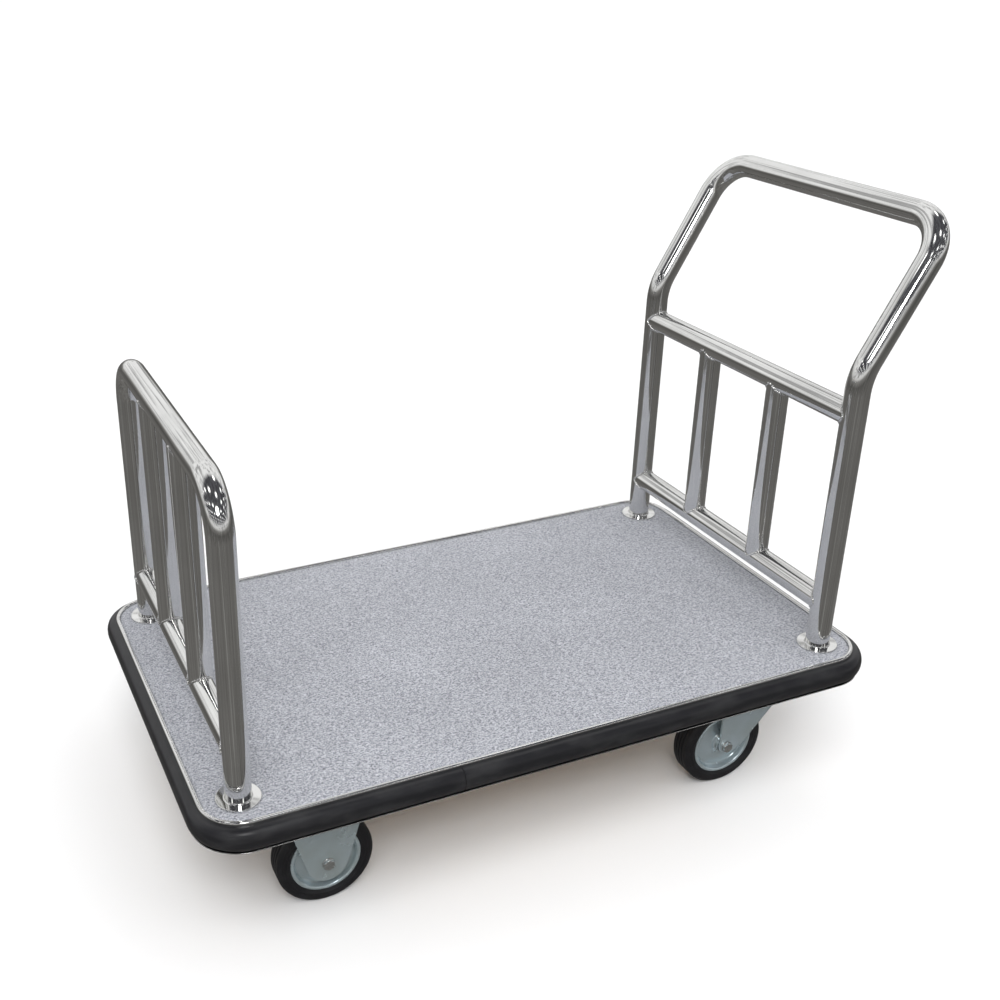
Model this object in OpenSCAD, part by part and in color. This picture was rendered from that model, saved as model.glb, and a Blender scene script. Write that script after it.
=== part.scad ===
// Hotel luggage cart: carpeted flat deck between a low end rail and a tall push handle, on two rigid
// and two swivel casters. +X runs along the deck to the handle, +Z is up, left is -Y and right is +Y
// for a person pushing at the handle. The origin lies on the floor under the middle of the whole cart.

/* [Deck] */
// Length of the deck over its steel edge band
deck_l = 1100; // [900:10:1350]
// Width of the deck over its steel edge band
deck_w = 640; // [520:10:780]
// Radius of the deck's corners at the outside of the edge band
corner_r = 62; // [50:1:80]
// Thickness of the plywood board
board_t = 18; // [12:1:24]
// Thickness of the carpet
carpet_t = 4; // [3:0.5:6]
// Width of the rounded bead along the top of the edge band
bead_w = 7; // [5:0.5:10]
// Height of the bead's crown above the carpet
bead_rise = 2; // [1:0.5:3]
// Wall thickness of the edge band
band_t = 1.5; // [1:0.1:2]
// Drop from the crown of the bead to the top of the bumper
bumper_drop = 6; // [4:1:12]
// Height of the rubber bumper
bumper_h = 36; // [28:1:44]
// How far the bumper stands out from the edge band
bumper_out = 16; // [12:1:24]
// Radius of the bumper's outer corners
bumper_r = 12; // [6:1:12]
// Width of the band's lip under the bumper
lip_w = 11; // [8:1:12]

/* [Underframe] */
// Width of the steel box rails
rail_w = 40; // [30:1:50]
// Height of the steel box rails
rail_h = 25; // [20:1:40]
// Wall thickness of the steel box rails
rail_t = 1.5; // [1.2:0.1:3]
// Distance between the two middle rails
middle_rail_gap = 300; // [200:10:400]
// Distance from a caster's pad to the deck bolt next to it
deck_bolt_margin = 80; // [20:5:120]
// Thickness of the welded pads that carry the casters
pad_t = 4; // [3:0.5:6]
// How far a pad reaches past the caster plate on each side
pad_margin = 7; // [4:1:12]

/* [End frames] */
// Outside diameter of the posts and top bars
tube_d = 38; // [30:0.5:46]
// How much thinner the crossbars are than the posts
crossbar_step = 0.4; // [0.2:0.1:10]
// How much thinner the short uprights are than the posts
upright_step = 1; // [0.6:0.1:10]
// Wall thickness of the tubes
tube_t = 1.5; // [1.2:0.1:2.5]
// Distance from the deck's edge to the middle of a post
post_inset = 58; // [50:1:75]
// Height of the lower crossbars above the deck
low_bar_h = 76; // [55:1:110]
// Height of the handle's upper crossbar above the deck
high_bar_h = 398; // [330:1:420]
// Height of the bend where the handle starts to lean out
kink_h = 460; // [450:1:560]
// Angle at which the handle leans out
lean = 30; // [15:1:35]
// Height of the handle's top bar above the deck
handle_h = 679; // [640:1:800]
// Height of the low rail's top bar above the deck
low_rail_h = 456; // [380:1:560]
// Bend radius of the rounded top corners
bend_r = 65; // [55:1:90]
// Bend radius where the handle leans out
kink_r = 100; // [70:1:130]
// Distance between the two uprights of a frame
upright_gap = 180; // [140:5:240]
// Diameter of the round flanges at the foot of the posts
flange_d = 64; // [56:1:80]
// How far the round flanges stand above the carpet
flange_rise = 1.2; // [0.5:0.1:4]
// Length of the threaded plug inside the foot of a post
plug_l = 40; // [30:1:60]
// Diameter of the bolts that hold the posts
post_bolt_d = 12; // [8:1:14]

/* [Casters] */
// Diameter of the wheels
wheel_d = 150; // [125:1:180]
// Free height between a wheel and the crown of its fork
wheel_gap = 22; // [12:1:40]
// Width of the tyres
tyre_w = 38; // [30:1:44]
// Diameter over the steel rim
rim_d = 110; // [90:1:120]
// Distance from the deck's end to the middle of a rigid caster
rigid_inset = 186; // [150:1:240]
// Distance from the deck's end to the kingpin of a swivel caster
swivel_inset = 172; // [150:1:240]
// Distance from the deck's side to the middle of a caster
caster_side_inset = 90; // [80:1:120]
// How far the axle of a swivel caster trails behind its kingpin
trail = 40; // [30:1:44]
// Distance between the plate's bolt holes along its length
bolt_gap_l = 90; // [85:1:110]
// Distance from the outer face of a fork's rib to the middle of the bolts beside it
bolt_room = 9.4; // [9:0.1:20]
// Distance from the middle of a bolt hole to the edge of the plate
plate_edge = 12.5; // [9:0.5:18]
// Thickness of the caster's top plate and fork
fork_t = 3.5; // [2.5:0.1:5]
// Free width between the fork's legs
fork_gap = 46; // [42:1:60]
// Radius of the rounded end of a rigid fork's legs
leg_end_r = 32; // [24:1:36]
// Width of a fork's legs at the top
leg_top_w = 106; // [90:1:112]
// Height above the axle where a fork's legs reach their full width
leg_taper_z = 66; // [50:1:70]
// Width of the pressed ribs in a fork's legs
rib_w = 15; // [10:1:20]
// How far the pressed ribs stand out
rib_out = 1.6; // [1:0.1:2]
// Diameter of the axle bolts
axle_d = 10; // [8:1:12]
// Diameter of the swivel bearing's balls
ball_d = 7; // [5:0.5:8]
// Diameter of the circle on which the balls run
ball_circle_d = 68; // [56:1:72]

/* [Fits] */
// Gap between a tube and the hole it passes through
tube_clearance = 0.5; // [0.3:0.1:1]
// Gap around a bolt in its hole
bolt_clearance = 0.25; // [0.1:0.05:0.5]
// Running gap of the bearings
run_clearance = 0.05; // [0.02:0.01:0.1]
// Gap between parts that turn past each other
side_clearance = 1; // [0.5:0.1:2]
// Gap between the carpet and the bead or flanges next to it
carpet_clearance = 0.3; // [0.2:0.1:1]

/* [Hidden] */
$fn = 96;
eps_cut = 1;                       // how far a cutter reaches past the face it cuts
bend_lap = 0.5;                    // how far a straight tube runs into a bend
bend_thinning = 0.02;              // how much thinner a bend's wall is, inside and outside

// heights of the casters, from the floor up
axle_z = wheel_d / 2;
axle_r = axle_d / 2;
race_play = 0.5;                   // gap between the balls and the underside of the top plate
race_gap = 1;                      // half the gap between the two races
crown_z = wheel_d + wheel_gap;
crown_top_z = crown_z + fork_t;
ball_z = crown_top_z + ball_d;
plate_z = ball_z + ball_d / 2 + race_play; // underside of the casters' top plates
caster_h = plate_z + fork_t;

// heights of the deck, from the floor up
rail_bottom_z = caster_h + pad_t;
board_z = rail_bottom_z + rail_h;
carpet_z = board_z + board_t;
carpet_top_z = carpet_z + carpet_t;
deck_z = carpet_top_z + bead_rise; // crown of the bead, from which the frames' heights count
bumper_top_z = deck_z - bumper_drop;
bumper_z = bumper_top_z - bumper_h;

// places along and across the cart
post_x = deck_l / 2 - post_inset;
post_y = deck_w / 2 - post_inset;
handle_reach = post_x + (handle_h - kink_h) * tan(lean) + tube_d / 2;
bumper_reach = deck_l / 2 + bumper_out;
deck_x = (bumper_reach - max(bumper_reach, handle_reach)) / 2; // middle of the deck
rigid_x = -deck_l / 2 + rigid_inset;
kingpin_x = deck_l / 2 - swivel_inset;
caster_y = deck_w / 2 - caster_side_inset;
crossbar_d = tube_d - crossbar_step;
upright_d = tube_d - upright_step;

// casters
race_r_out = ball_circle_d / 2 + ball_d;
ball_count = 20;
kingpin_r = 6;
kingpin_nut_af = 19;
kingpin_nut_h = 8;
leg_y = fork_gap / 2;
rigid_rib_x = [-28, 28];           // places of the ribs along a rigid fork's leg
rigid_rib_drop = 22;               // how far a rigid fork's ribs reach below the full width
swivel_rib_drop = 14;              // how far a swivel fork's rib reaches below the full width
bolt_gap_w = fork_gap + 2 * (fork_t + rib_out + bolt_room);
plate_l = bolt_gap_l + 2 * plate_edge;
plate_w = bolt_gap_w + 2 * plate_edge;
plate_corner_r = 7;
pad_l = plate_l + 2 * pad_margin;
pad_w = plate_w + 2 * pad_margin;
sleeve_r = axle_r + 3;
roller_r = 1.5;
roller_count = 14;
hub_bore_r = sleeve_r + 2 * roller_r + 2 * run_clearance;
hub_wall = 3;
hub_r = hub_bore_r + hub_wall;
hub_l = fork_gap - 2 * side_clearance;
rim_t = 2;
rim_r = rim_d / 2;
rim_w = tyre_w - 4;
rim_gap = 0.2;                     // joint between the two halves of a rim
rim_roll = 3;                      // width of the rim's rolled edge
rim_roll_out = 1.5;                // how far the rolled edge stands out
rim_lip = 6;                       // width of the rim between the rolled edge and the dish
rim_dish_depth = 10;               // depth of the dish below the rim's side
rim_dish_slope = 4;                // width of the dish's sloping wall
tread_grooves = 3;
tread_pitch = 7;                   // distance between the grooves round a tyre
tread_groove_w = 1.6;
tread_groove_d = 1.2;
shoulder_r = 6;                    // radius of a tyre's shoulders

// fasteners
plate_bolt_d = 8;
plate_bolt_af = 13;
plate_bolt_head = 5.3;
plate_nut_h = 6.5;
axle_af = 16;
axle_head = 6.4;
axle_nut_h = 8;
axle_end = 2;                      // how far a bolt's end stands out of its nut
post_bolt_af_ratio = 1.5;          // width of a bolt's head over its diameter
post_bolt_af = post_bolt_af_ratio * post_bolt_d;
post_bolt_head = 7.5;
post_bolt_grip = 30;               // how far a post's bolt reaches into its plug
deck_bolt_d = 6;
deck_bolt_head_d = 12;
deck_bolt_head_h = 3;
deck_nut_h = 5;
deck_nut_af = 10;
deck_bolts_in_row = 4;
deck_bolt_low_x = rigid_x + pad_l / 2 + deck_bolt_margin;
deck_bolt_high_x = kingpin_x - pad_l / 2 - deck_bolt_margin;
rivet_d = 4;
rivet_head_d = 8;
rivet_head_h = 1.2;
rivet_l = 12;
rivets_long = 5;                   // rivets along a long side of the band
rivets_short = 3;                  // rivets along a short side of the band
groove_h = 12;                     // groove in the bumper's back, over the rivet heads
groove_d = 2;
rivet_z = board_z + board_t / 2;

// ---- shared shapes ----

// Places children whose origin is the floor point under the middle of the deck
module on_deck() { translate([deck_x, 0, 0]) children(); }

// Copies children to the left and the right side
module both_sides() { children(); mirror([0, 1, 0]) children(); }

module rounded_rect(l, w, r) {
    square([l - 2 * r, w], center = true);
    square([l, w - 2 * r], center = true);
    for (x = [-1, 1], y = [-1, 1]) translate([x * (l / 2 - r), y * (w / 2 - r)]) circle(r);
}

// Carries a profile, drawn as [outward, up], once round the outside of the deck
module round_deck() {
    long_side = deck_l - 2 * corner_r;
    short_side = deck_w - 2 * corner_r;
    for (side = [0, 1]) rotate([0, 0, 180 * side]) {
        translate([-long_side / 2, -deck_w / 2, 0]) rotate([90, 0, 90])
            linear_extrude(long_side) mirror([1, 0]) children();
        translate([deck_l / 2, -short_side / 2, 0]) rotate([90, 0, 180])
            linear_extrude(short_side) mirror([1, 0]) children();
        for (y = [0, 1]) mirror([0, y, 0])
            translate([long_side / 2, short_side / 2, 0]) rotate_extrude(angle = 90)
                translate([corner_r, 0]) children();
    }
}

module ring(d, t) { difference() { circle(d = d); circle(d = d - 2 * t); } }

module tube(d, l) { linear_extrude(l) ring(d, tube_t); }

// A straight stretch of a bent tube, which laps a little into the bend at each end
module straight(l, lap_low = bend_lap, lap_high = bend_lap) {
    translate([0, 0, -lap_low]) tube(tube_d, l + lap_low + lap_high);
}

// A bend that starts along +Z at the origin and turns towards +X, its wall drawn out a little thinner
module tube_bend(r, a) {
    translate([r, 0, 0]) rotate([90, 0, 180]) rotate_extrude(angle = a)
        translate([r, 0]) ring(tube_d - 2 * bend_thinning, tube_t - 2 * bend_thinning);
}

module cross_tube(x, z) {
    translate([x, -post_y, z]) rotate([-90, 0, 0]) tube(crossbar_d, 2 * post_y);
}

// Solid cutter with the outside shape of a tube along Y
module cross_cutter(x, z, d) {
    translate([x, -deck_w / 2, z]) rotate([-90, 0, 0]) cylinder(d = d, h = deck_w);
}

module post_cutter(x) {
    for (y = [-post_y, post_y]) translate([x, y, board_z]) cylinder(d = tube_d, h = handle_h);
}

module hex_prism(af, h) { cylinder(d = af / cos(30), h = h, $fn = 6); }

// A hexagon bolt along +Z with its head below the origin
module hex_bolt(d, l, af, head) {
    translate([0, 0, -head]) hex_prism(af, head);
    cylinder(d = d, h = l);
}

module hex_nut(d, af, h) {
    difference() {
        hex_prism(af, h);
        translate([0, 0, -eps_cut]) cylinder(d = d + 2 * run_clearance, h = h + 2 * eps_cut);
    }
}

module at_posts() {
    for (x = [-post_x, post_x], y = [-post_y, post_y]) translate([x, y, 0]) children();
}

module at_deck_bolts() {
    pitch = (deck_bolt_high_x - deck_bolt_low_x) / (deck_bolts_in_row - 1);
    for (i = [0 : deck_bolts_in_row - 1], y = [-caster_y, caster_y])
        translate([deck_bolt_low_x + i * pitch, y, 0]) children();
}

module at_casters() {
    for (x = [rigid_x, kingpin_x], y = [-caster_y, caster_y]) translate([x, y, 0]) children();
}

module at_plate_bolts() {
    for (x = [-1, 1], y = [-1, 1]) translate([x * bolt_gap_l / 2, y * bolt_gap_w / 2, 0]) children();
}

// ---- deck ----

module deck_board() {
    board_r = corner_r - band_t;
    color("burlywood") on_deck() difference() {
        translate([0, 0, board_z]) linear_extrude(board_t)
            rounded_rect(deck_l - 2 * band_t, deck_w - 2 * band_t, board_r);
        at_posts() translate([0, 0, board_z - eps_cut])
            cylinder(d = tube_d + 2 * tube_clearance, h = board_t + 2 * eps_cut);
        at_deck_bolts() deck_bolt_cutter();
        at_rivets() cylinder(d = rivet_d + 2 * bolt_clearance, h = rivet_l + eps_cut);
    }
}

module carpet() {
    inset = 2 * (bead_w + carpet_clearance);
    color("slategray") on_deck() translate([0, 0, carpet_z]) linear_extrude(carpet_t)
        difference() {
            rounded_rect(deck_l - inset, deck_w - inset, corner_r - inset / 2);
            for (x = [-post_x, post_x], y = [-post_y, post_y])
                translate([x, y]) circle(d = flange_d + 2 * carpet_clearance);
        }
}

module band_profile() {
    translate([-band_t, bumper_z - band_t])
        square([band_t, carpet_z + bead_w / 2 - bumper_z + band_t - bead_rise]);
    translate([-band_t, bumper_z - band_t]) square([lip_w + band_t, band_t]);
    intersection() {
        translate([-bead_w / 2, deck_z - bead_w / 2]) circle(d = bead_w);
        translate([-bead_w, carpet_z]) square([bead_w, bead_w]);
    }
    translate([-bead_w, carpet_z]) square([bead_w, deck_z - bead_w / 2 - carpet_z]);
}

module edge_band() {
    color("gainsboro") on_deck() difference() {
        round_deck() band_profile();
        at_rivets() cylinder(d = rivet_d + 2 * bolt_clearance, h = rivet_l + eps_cut);
    }
}

module bumper_profile() {
    straight = bumper_h - 2 * bumper_r;
    difference() {
        union() {
            translate([0, bumper_z]) square([bumper_out - bumper_r, bumper_h]);
            translate([0, bumper_z + bumper_r]) square([bumper_out, straight]);
            for (z = [0, straight])
                translate([bumper_out - bumper_r, bumper_z + bumper_r + z]) circle(bumper_r);
        }
        translate([-bumper_r, bumper_z - eps_cut]) square([bumper_r, bumper_h + 2 * eps_cut]);
        translate([-eps_cut, rivet_z - groove_h / 2]) square([groove_d + eps_cut, groove_h]);
    }
}

module bumper() { color("dimgray") on_deck() round_deck() bumper_profile(); }

// Children along +Z point inwards from the band's outer face
module at_rivets() {
    long_step = (deck_l - 2 * corner_r) / rivets_long;
    short_step = (deck_w - 2 * corner_r) / rivets_short;
    for (side = [0, 1]) rotate([0, 0, 180 * side]) {
        for (i = [0 : rivets_long - 1])
            translate([(i - (rivets_long - 1) / 2) * long_step, -deck_w / 2, rivet_z])
                rotate([-90, 0, 0]) children();
        for (i = [0 : rivets_short - 1])
            translate([deck_l / 2, (i - (rivets_short - 1) / 2) * short_step, rivet_z])
                rotate([0, -90, 0]) children();
    }
}

module band_rivets() {
    color("silver") on_deck() at_rivets() {
        cylinder(d = rivet_d, h = rivet_l);
        translate([0, 0, -rivet_head_h]) cylinder(d = rivet_head_d, h = rivet_head_h);
    }
}

// ---- underframe ----

module box_rail(l) {
    linear_extrude(l) difference() {
        square([rail_w, rail_h], center = true);
        square([rail_w - 2 * rail_t, rail_h - 2 * rail_t], center = true);
    }
}

module rail_along_x(x0, x1) {
    translate([x0, 0, board_z - rail_h / 2]) rotate([90, 0, 90]) box_rail(x1 - x0);
}

module rail_along_y(y0, y1) {
    translate([0, y1, board_z - rail_h / 2]) rotate([90, 0, 0]) box_rail(y1 - y0);
}

module side_rails() {
    half = post_x - rail_w / 2;
    color("gray") on_deck() difference() {
        both_sides() translate([0, caster_y, 0]) rail_along_x(-half, half);
        at_deck_bolts() deck_bolt_cutter();
    }
}

module end_rails() {
    half = post_y + tube_d / 2 + pad_margin;
    color("gray") on_deck() difference() {
        for (x = [-post_x, post_x]) translate([x, 0, 0]) rail_along_y(-half, half);
        at_posts() translate([0, 0, rail_bottom_z - eps_cut])
            cylinder(d = post_bolt_d + 2 * bolt_clearance, h = rail_h + 2 * eps_cut);
    }
}

module middle_rails() {
    half = caster_y - rail_w / 2;
    color("gray") on_deck() for (x = [-0.5, 0.5])
        translate([x * middle_rail_gap, 0, 0]) rail_along_y(-half, half);
}

module caster_pads() {
    color("darkgray") on_deck() at_casters() difference() {
        translate([0, 0, caster_h]) linear_extrude(pad_t)
            rounded_rect(pad_l, pad_w, plate_corner_r);
        at_plate_bolts() plate_hole();
    }
}

module deck_bolt_shape(d, head_d, head_h) {
    translate([0, 0, carpet_z - head_h]) cylinder(d1 = d, d2 = head_d, h = head_h);
}

module deck_bolt_cutter() {
    gap = 2 * bolt_clearance;
    deck_bolt_shape(deck_bolt_d + gap, deck_bolt_head_d + gap, deck_bolt_head_h);
    translate([0, 0, rail_bottom_z - eps_cut])
        cylinder(d = deck_bolt_d + gap, h = carpet_z - rail_bottom_z);
}

module deck_bolts() {
    color("silver") on_deck() at_deck_bolts() {
        low = rail_bottom_z - deck_nut_h - axle_end;
        deck_bolt_shape(deck_bolt_d, deck_bolt_head_d, deck_bolt_head_h);
        translate([0, 0, low])
            cylinder(d = deck_bolt_d, h = carpet_z - deck_bolt_head_h - low);
    }
}

module deck_nuts() {
    color("silver") on_deck() at_deck_bolts()
        translate([0, 0, rail_bottom_z - deck_nut_h]) hex_nut(deck_bolt_d, deck_nut_af, deck_nut_h);
}

// ---- end frames ----

module post_plugs() {
    color("silver") on_deck() at_posts() translate([0, 0, board_z]) difference() {
        cylinder(d = tube_d - 2 * tube_t - 2 * run_clearance, h = plug_l);
        translate([0, 0, -eps_cut])
            cylinder(d = post_bolt_d + 2 * run_clearance, h = plug_l + 2 * eps_cut);
    }
}

module post_bolts() {
    color("silver") on_deck() at_posts() translate([0, 0, rail_bottom_z])
        hex_bolt(post_bolt_d, rail_h + post_bolt_grip, post_bolt_af, post_bolt_head);
}

module post_flanges() {
    flange_h = carpet_t + flange_rise;
    inner_r = tube_d / 2 + run_clearance;
    color("gainsboro") on_deck() at_posts() translate([0, 0, carpet_z]) rotate_extrude()
        polygon([
            [inner_r, 0], [flange_d / 2, 0], [flange_d / 2, flange_h - flange_rise],
            [flange_d / 2 - flange_rise, flange_h], [inner_r, flange_h]
        ]);
}

// A post with the round corner above it, heading for the other side
module left_corner() { rotate([0, 0, 90]) tube_bend(bend_r, 90); }

module handle_tube() {
    tangent = kink_r * tan(lean / 2);
    slant = (handle_h - kink_h) / cos(lean) - tangent - bend_r;
    color("gainsboro") on_deck() {
        both_sides() translate([post_x, -post_y, 0]) {
            translate([0, 0, board_z]) straight(deck_z + kink_h - tangent - board_z, 0);
            translate([0, 0, deck_z + kink_h - tangent]) {
                tube_bend(kink_r, lean);
                translate([kink_r * (1 - cos(lean)), 0, kink_r * sin(lean)])
                    rotate([0, lean, 0]) {
                        straight(slant);
                        translate([0, 0, slant]) left_corner();
                    }
            }
        }
        translate([post_x + (handle_h - kink_h) * tan(lean), bend_r - post_y, deck_z + handle_h])
            rotate([-90, 0, 0]) straight(2 * (post_y - bend_r));
    }
}

module handle_upper_crossbar() {
    color("gainsboro") on_deck() difference() {
        cross_tube(post_x, deck_z + high_bar_h);
        post_cutter(post_x);
    }
}

module handle_lower_crossbar() {
    color("gainsboro") on_deck() difference() {
        cross_tube(post_x, deck_z + low_bar_h);
        post_cutter(post_x);
    }
}

// Two uprights that stand on the lower crossbar and reach a bar of diameter top_d at height top_h
module uprights(x, top_h, top_d) {
    color("gainsboro") on_deck() difference() {
        for (y = [-0.5, 0.5]) translate([x, y * upright_gap, deck_z + low_bar_h])
            tube(upright_d, top_h - low_bar_h);
        cross_cutter(x, deck_z + low_bar_h, crossbar_d);
        cross_cutter(x, deck_z + top_h, top_d);
    }
}

module handle_uprights() { uprights(post_x, high_bar_h, crossbar_d); }

module rail_tube() {
    color("gainsboro") on_deck() {
        both_sides() translate([-post_x, -post_y, 0]) {
            translate([0, 0, board_z]) straight(deck_z + low_rail_h - bend_r - board_z, 0);
            translate([0, 0, deck_z + low_rail_h - bend_r]) left_corner();
        }
        translate([-post_x, bend_r - post_y, deck_z + low_rail_h])
            rotate([-90, 0, 0]) straight(2 * (post_y - bend_r));
    }
}

module rail_crossbar() {
    color("gainsboro") on_deck() difference() {
        cross_tube(-post_x, deck_z + low_bar_h);
        post_cutter(-post_x);
    }
}

module rail_uprights() { uprights(-post_x, low_rail_h, tube_d); }

// ---- caster fasteners ----

module plate_hole() {
    translate([0, 0, plate_z - eps_cut])
        cylinder(d = plate_bolt_d + 2 * bolt_clearance, h = fork_t + pad_t + 2 * eps_cut);
}

module caster_bolts() {
    length = fork_t + pad_t + plate_nut_h + axle_end;
    color("silver") on_deck() at_casters() at_plate_bolts() translate([0, 0, plate_z])
        hex_bolt(plate_bolt_d, length, plate_bolt_af, plate_bolt_head);
}

module caster_nuts() {
    color("silver") on_deck() at_casters() at_plate_bolts()
        translate([0, 0, caster_h + pad_t]) hex_nut(plate_bolt_d, plate_bolt_af, plate_nut_h);
}

// Places a caster's parts, drawn with the outer side facing -Y; side is -1 for left, 1 for right
module at_caster(x, side) {
    on_deck() translate([x, side * caster_y, 0]) mirror([0, side > 0 ? 1 : 0, 0]) children();
}

module at_axle() { translate([0, 0, axle_z]) rotate([-90, 0, 0]) children(); }

module axle_bolt() {
    outer = leg_y + fork_t;
    color("silver") at_axle() translate([0, 0, -outer])
        hex_bolt(axle_d, 2 * outer + axle_nut_h + axle_end, axle_af, axle_head);
}

module axle_nut() {
    color("silver") at_axle() translate([0, 0, leg_y + fork_t])
        hex_nut(axle_d, axle_af, axle_nut_h);
}

module axle_sleeve() {
    color("silver") at_axle() translate([0, 0, -leg_y]) linear_extrude(fork_gap) difference() {
        circle(sleeve_r);
        circle(axle_r + run_clearance);
    }
}

// ---- wheels ----

module tyre() {
    half = tyre_w / 2;
    color("#26272b") at_axle() rotate_extrude($fn = 180) difference() {
        union() {
            translate([rim_r, -half]) square([wheel_d / 2 - shoulder_r - rim_r, tyre_w]);
            translate([rim_r, shoulder_r - half])
                square([wheel_d / 2 - rim_r, tyre_w - 2 * shoulder_r]);
            for (z = [-1, 1])
                translate([wheel_d / 2 - shoulder_r, z * (half - shoulder_r)]) circle(shoulder_r);
        }
        for (i = [0 : tread_grooves - 1])
            translate([wheel_d / 2 - tread_groove_d, (i - (tread_grooves - 1) / 2) * tread_pitch
                - tread_groove_w / 2])
                square([tread_groove_d + eps_cut, tread_groove_w]);
    }
}

// Half of a pressed-steel rim: seat under the tyre, rolled edge, sunk dish and flat web to the hub
module rim_half_profile() {
    side = rim_w / 2;
    crest_r = rim_r - rim_roll;
    dish_r = crest_r - rim_lip;
    web_r = dish_r - rim_dish_slope;
    web_z = side - rim_dish_depth;
    polygon([
        [rim_r, rim_gap / 2], [rim_r, side], [crest_r, side + rim_roll_out], [dish_r, side],
        [web_r, web_z], [hub_r, web_z], [hub_r, web_z - rim_t], [web_r + rim_t / 2, web_z - rim_t],
        [dish_r + rim_t / 2, side - rim_t], [crest_r, side + rim_roll_out - rim_t],
        [rim_r - rim_t, side - rim_t], [rim_r - rim_t, rim_gap / 2]
    ]);
}

module rim() {
    color("lightsteelblue") at_axle() for (side = [0, 1]) mirror([0, 0, side])
        rotate_extrude() rim_half_profile();
}

module hub() {
    color("silver") at_axle() translate([0, 0, -hub_l / 2]) linear_extrude(hub_l) difference() {
        circle(hub_r);
        circle(hub_bore_r);
    }
}

module rollers() {
    color("silver") at_axle() for (i = [0 : roller_count - 1])
        rotate([0, 0, i * 360 / roller_count])
            translate([sleeve_r + run_clearance + roller_r, 0, side_clearance - hub_l / 2])
                cylinder(r = roller_r, h = hub_l - 2 * side_clearance);
}

// ---- forks ----

// Where the line from [x, z] touches the circle of radius r round the origin, on the same side
function touch_point(x, z, r) =
    let (far = sqrt(x * x + z * z), a = atan2(z, x) + (x > 0 ? -1 : 1) * acos(r / far))
    [r * cos(a), r * sin(a)];

// Outline of a rigid fork's leg, with the axle at the origin
module rigid_leg_outline() {
    w = leg_top_w / 2;
    polygon([
        [-w, plate_z - axle_z], [-w, leg_taper_z], touch_point(-w, leg_taper_z, leg_end_r),
        touch_point(w, leg_taper_z, leg_end_r), [w, leg_taper_z], [w, plate_z - axle_z]
    ]);
    circle(leg_end_r);
}

// Lays a leg outline against the outer side of the fork gap, s is -1 or 1
module stand_leg(s, t) {
    translate([0, s > 0 ? leg_y + t : -leg_y, axle_z]) rotate([90, 0, 0])
        linear_extrude(t) children();
}

module axle_hole() {
    at_axle() cylinder(r = axle_r + run_clearance, h = 4 * leg_y, center = true);
}

// Pressed ribs that stiffen a leg
module leg_ribs(x_list, low, high) {
    for (x = x_list) {
        translate([x - rib_w / 2, low]) square([rib_w, high - low]);
        translate([x, low]) circle(d = rib_w);
    }
}

module rigid_fork() {
    color("lightsteelblue") difference() {
        union() {
            translate([0, 0, plate_z]) linear_extrude(fork_t)
                rounded_rect(plate_l, plate_w, plate_corner_r);
            for (s = [-1, 1]) {
                stand_leg(s, fork_t) rigid_leg_outline();
                stand_leg(s, fork_t + rib_out)
                    leg_ribs(rigid_rib_x, leg_taper_z - rigid_rib_drop, plate_z - axle_z);
            }
        }
        axle_hole();
        at_plate_bolts() plate_hole();
    }
}

// Outline of a swivel fork's leg, with the axle at the origin and the kingpin at x = trail
module swivel_leg_outline() {
    front = trail - leg_top_w / 2;
    rear = trail + leg_top_w / 2;
    end_r = -front;
    polygon([
        [front, crown_top_z - axle_z], [front, 0], touch_point(rear, leg_taper_z, 2 * end_r),
        [rear, leg_taper_z], [rear, crown_top_z - axle_z]
    ]);
    circle(end_r);
    intersection() {
        circle(2 * end_r);
        translate([front, -end_r]) square([3 * end_r, 4 * end_r]);
    }
}

module race_groove() {
    translate([trail, 0, ball_z]) rotate_extrude()
        translate([ball_circle_d / 2, 0]) circle(d = ball_d + 2 * run_clearance);
}

// Drawn with the axle over the origin
module swivel_fork() {
    color("lightsteelblue") difference() {
        union() {
            translate([trail, 0, crown_z]) linear_extrude(fork_t)
                square([leg_top_w, fork_gap + 2 * fork_t], center = true);
            translate([trail, 0, crown_top_z - eps_cut])
                cylinder(r = race_r_out, h = ball_z - race_gap - crown_top_z + eps_cut);
            for (s = [-1, 1]) {
                stand_leg(s, fork_t) swivel_leg_outline();
                stand_leg(s, fork_t + rib_out)
                    leg_ribs([trail], leg_taper_z - swivel_rib_drop, crown_top_z - axle_z);
            }
        }
        axle_hole();
        race_groove();
        translate([trail, 0, crown_z - eps_cut])
            cylinder(r = kingpin_r + run_clearance, h = ball_z);
    }
}

module swivel_plates() {
    color("lightsteelblue") both_sides() at_caster(kingpin_x, -1) difference() {
        union() {
            translate([0, 0, plate_z]) linear_extrude(fork_t)
                rounded_rect(plate_l, plate_w, plate_corner_r);
            translate([0, 0, ball_z + race_gap])
                cylinder(r = race_r_out, h = plate_z - ball_z - race_gap + eps_cut);
        }
        translate([-trail, 0, 0]) race_groove();
        translate([0, 0, ball_z]) cylinder(r = kingpin_r, h = plate_z);
        at_plate_bolts() plate_hole();
    }
}

module kingpins() {
    low = crown_z - side_clearance - kingpin_nut_h - axle_end;
    color("silver") both_sides() at_caster(kingpin_x, -1)
        translate([0, 0, low]) cylinder(r = kingpin_r, h = caster_h - low);
}

module kingpin_nuts() {
    color("silver") both_sides() at_caster(kingpin_x, -1)
        translate([0, 0, crown_z - side_clearance - kingpin_nut_h])
            hex_nut(2 * kingpin_r, kingpin_nut_af, kingpin_nut_h);
}

module swivel_balls() {
    color("silver") for (i = [0 : ball_count - 1])
        translate([trail, 0, ball_z]) rotate([0, 0, i * 360 / ball_count])
            translate([ball_circle_d / 2, 0, 0]) sphere(d = ball_d, $fn = 32);
}

// ---- casters in place ----

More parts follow.
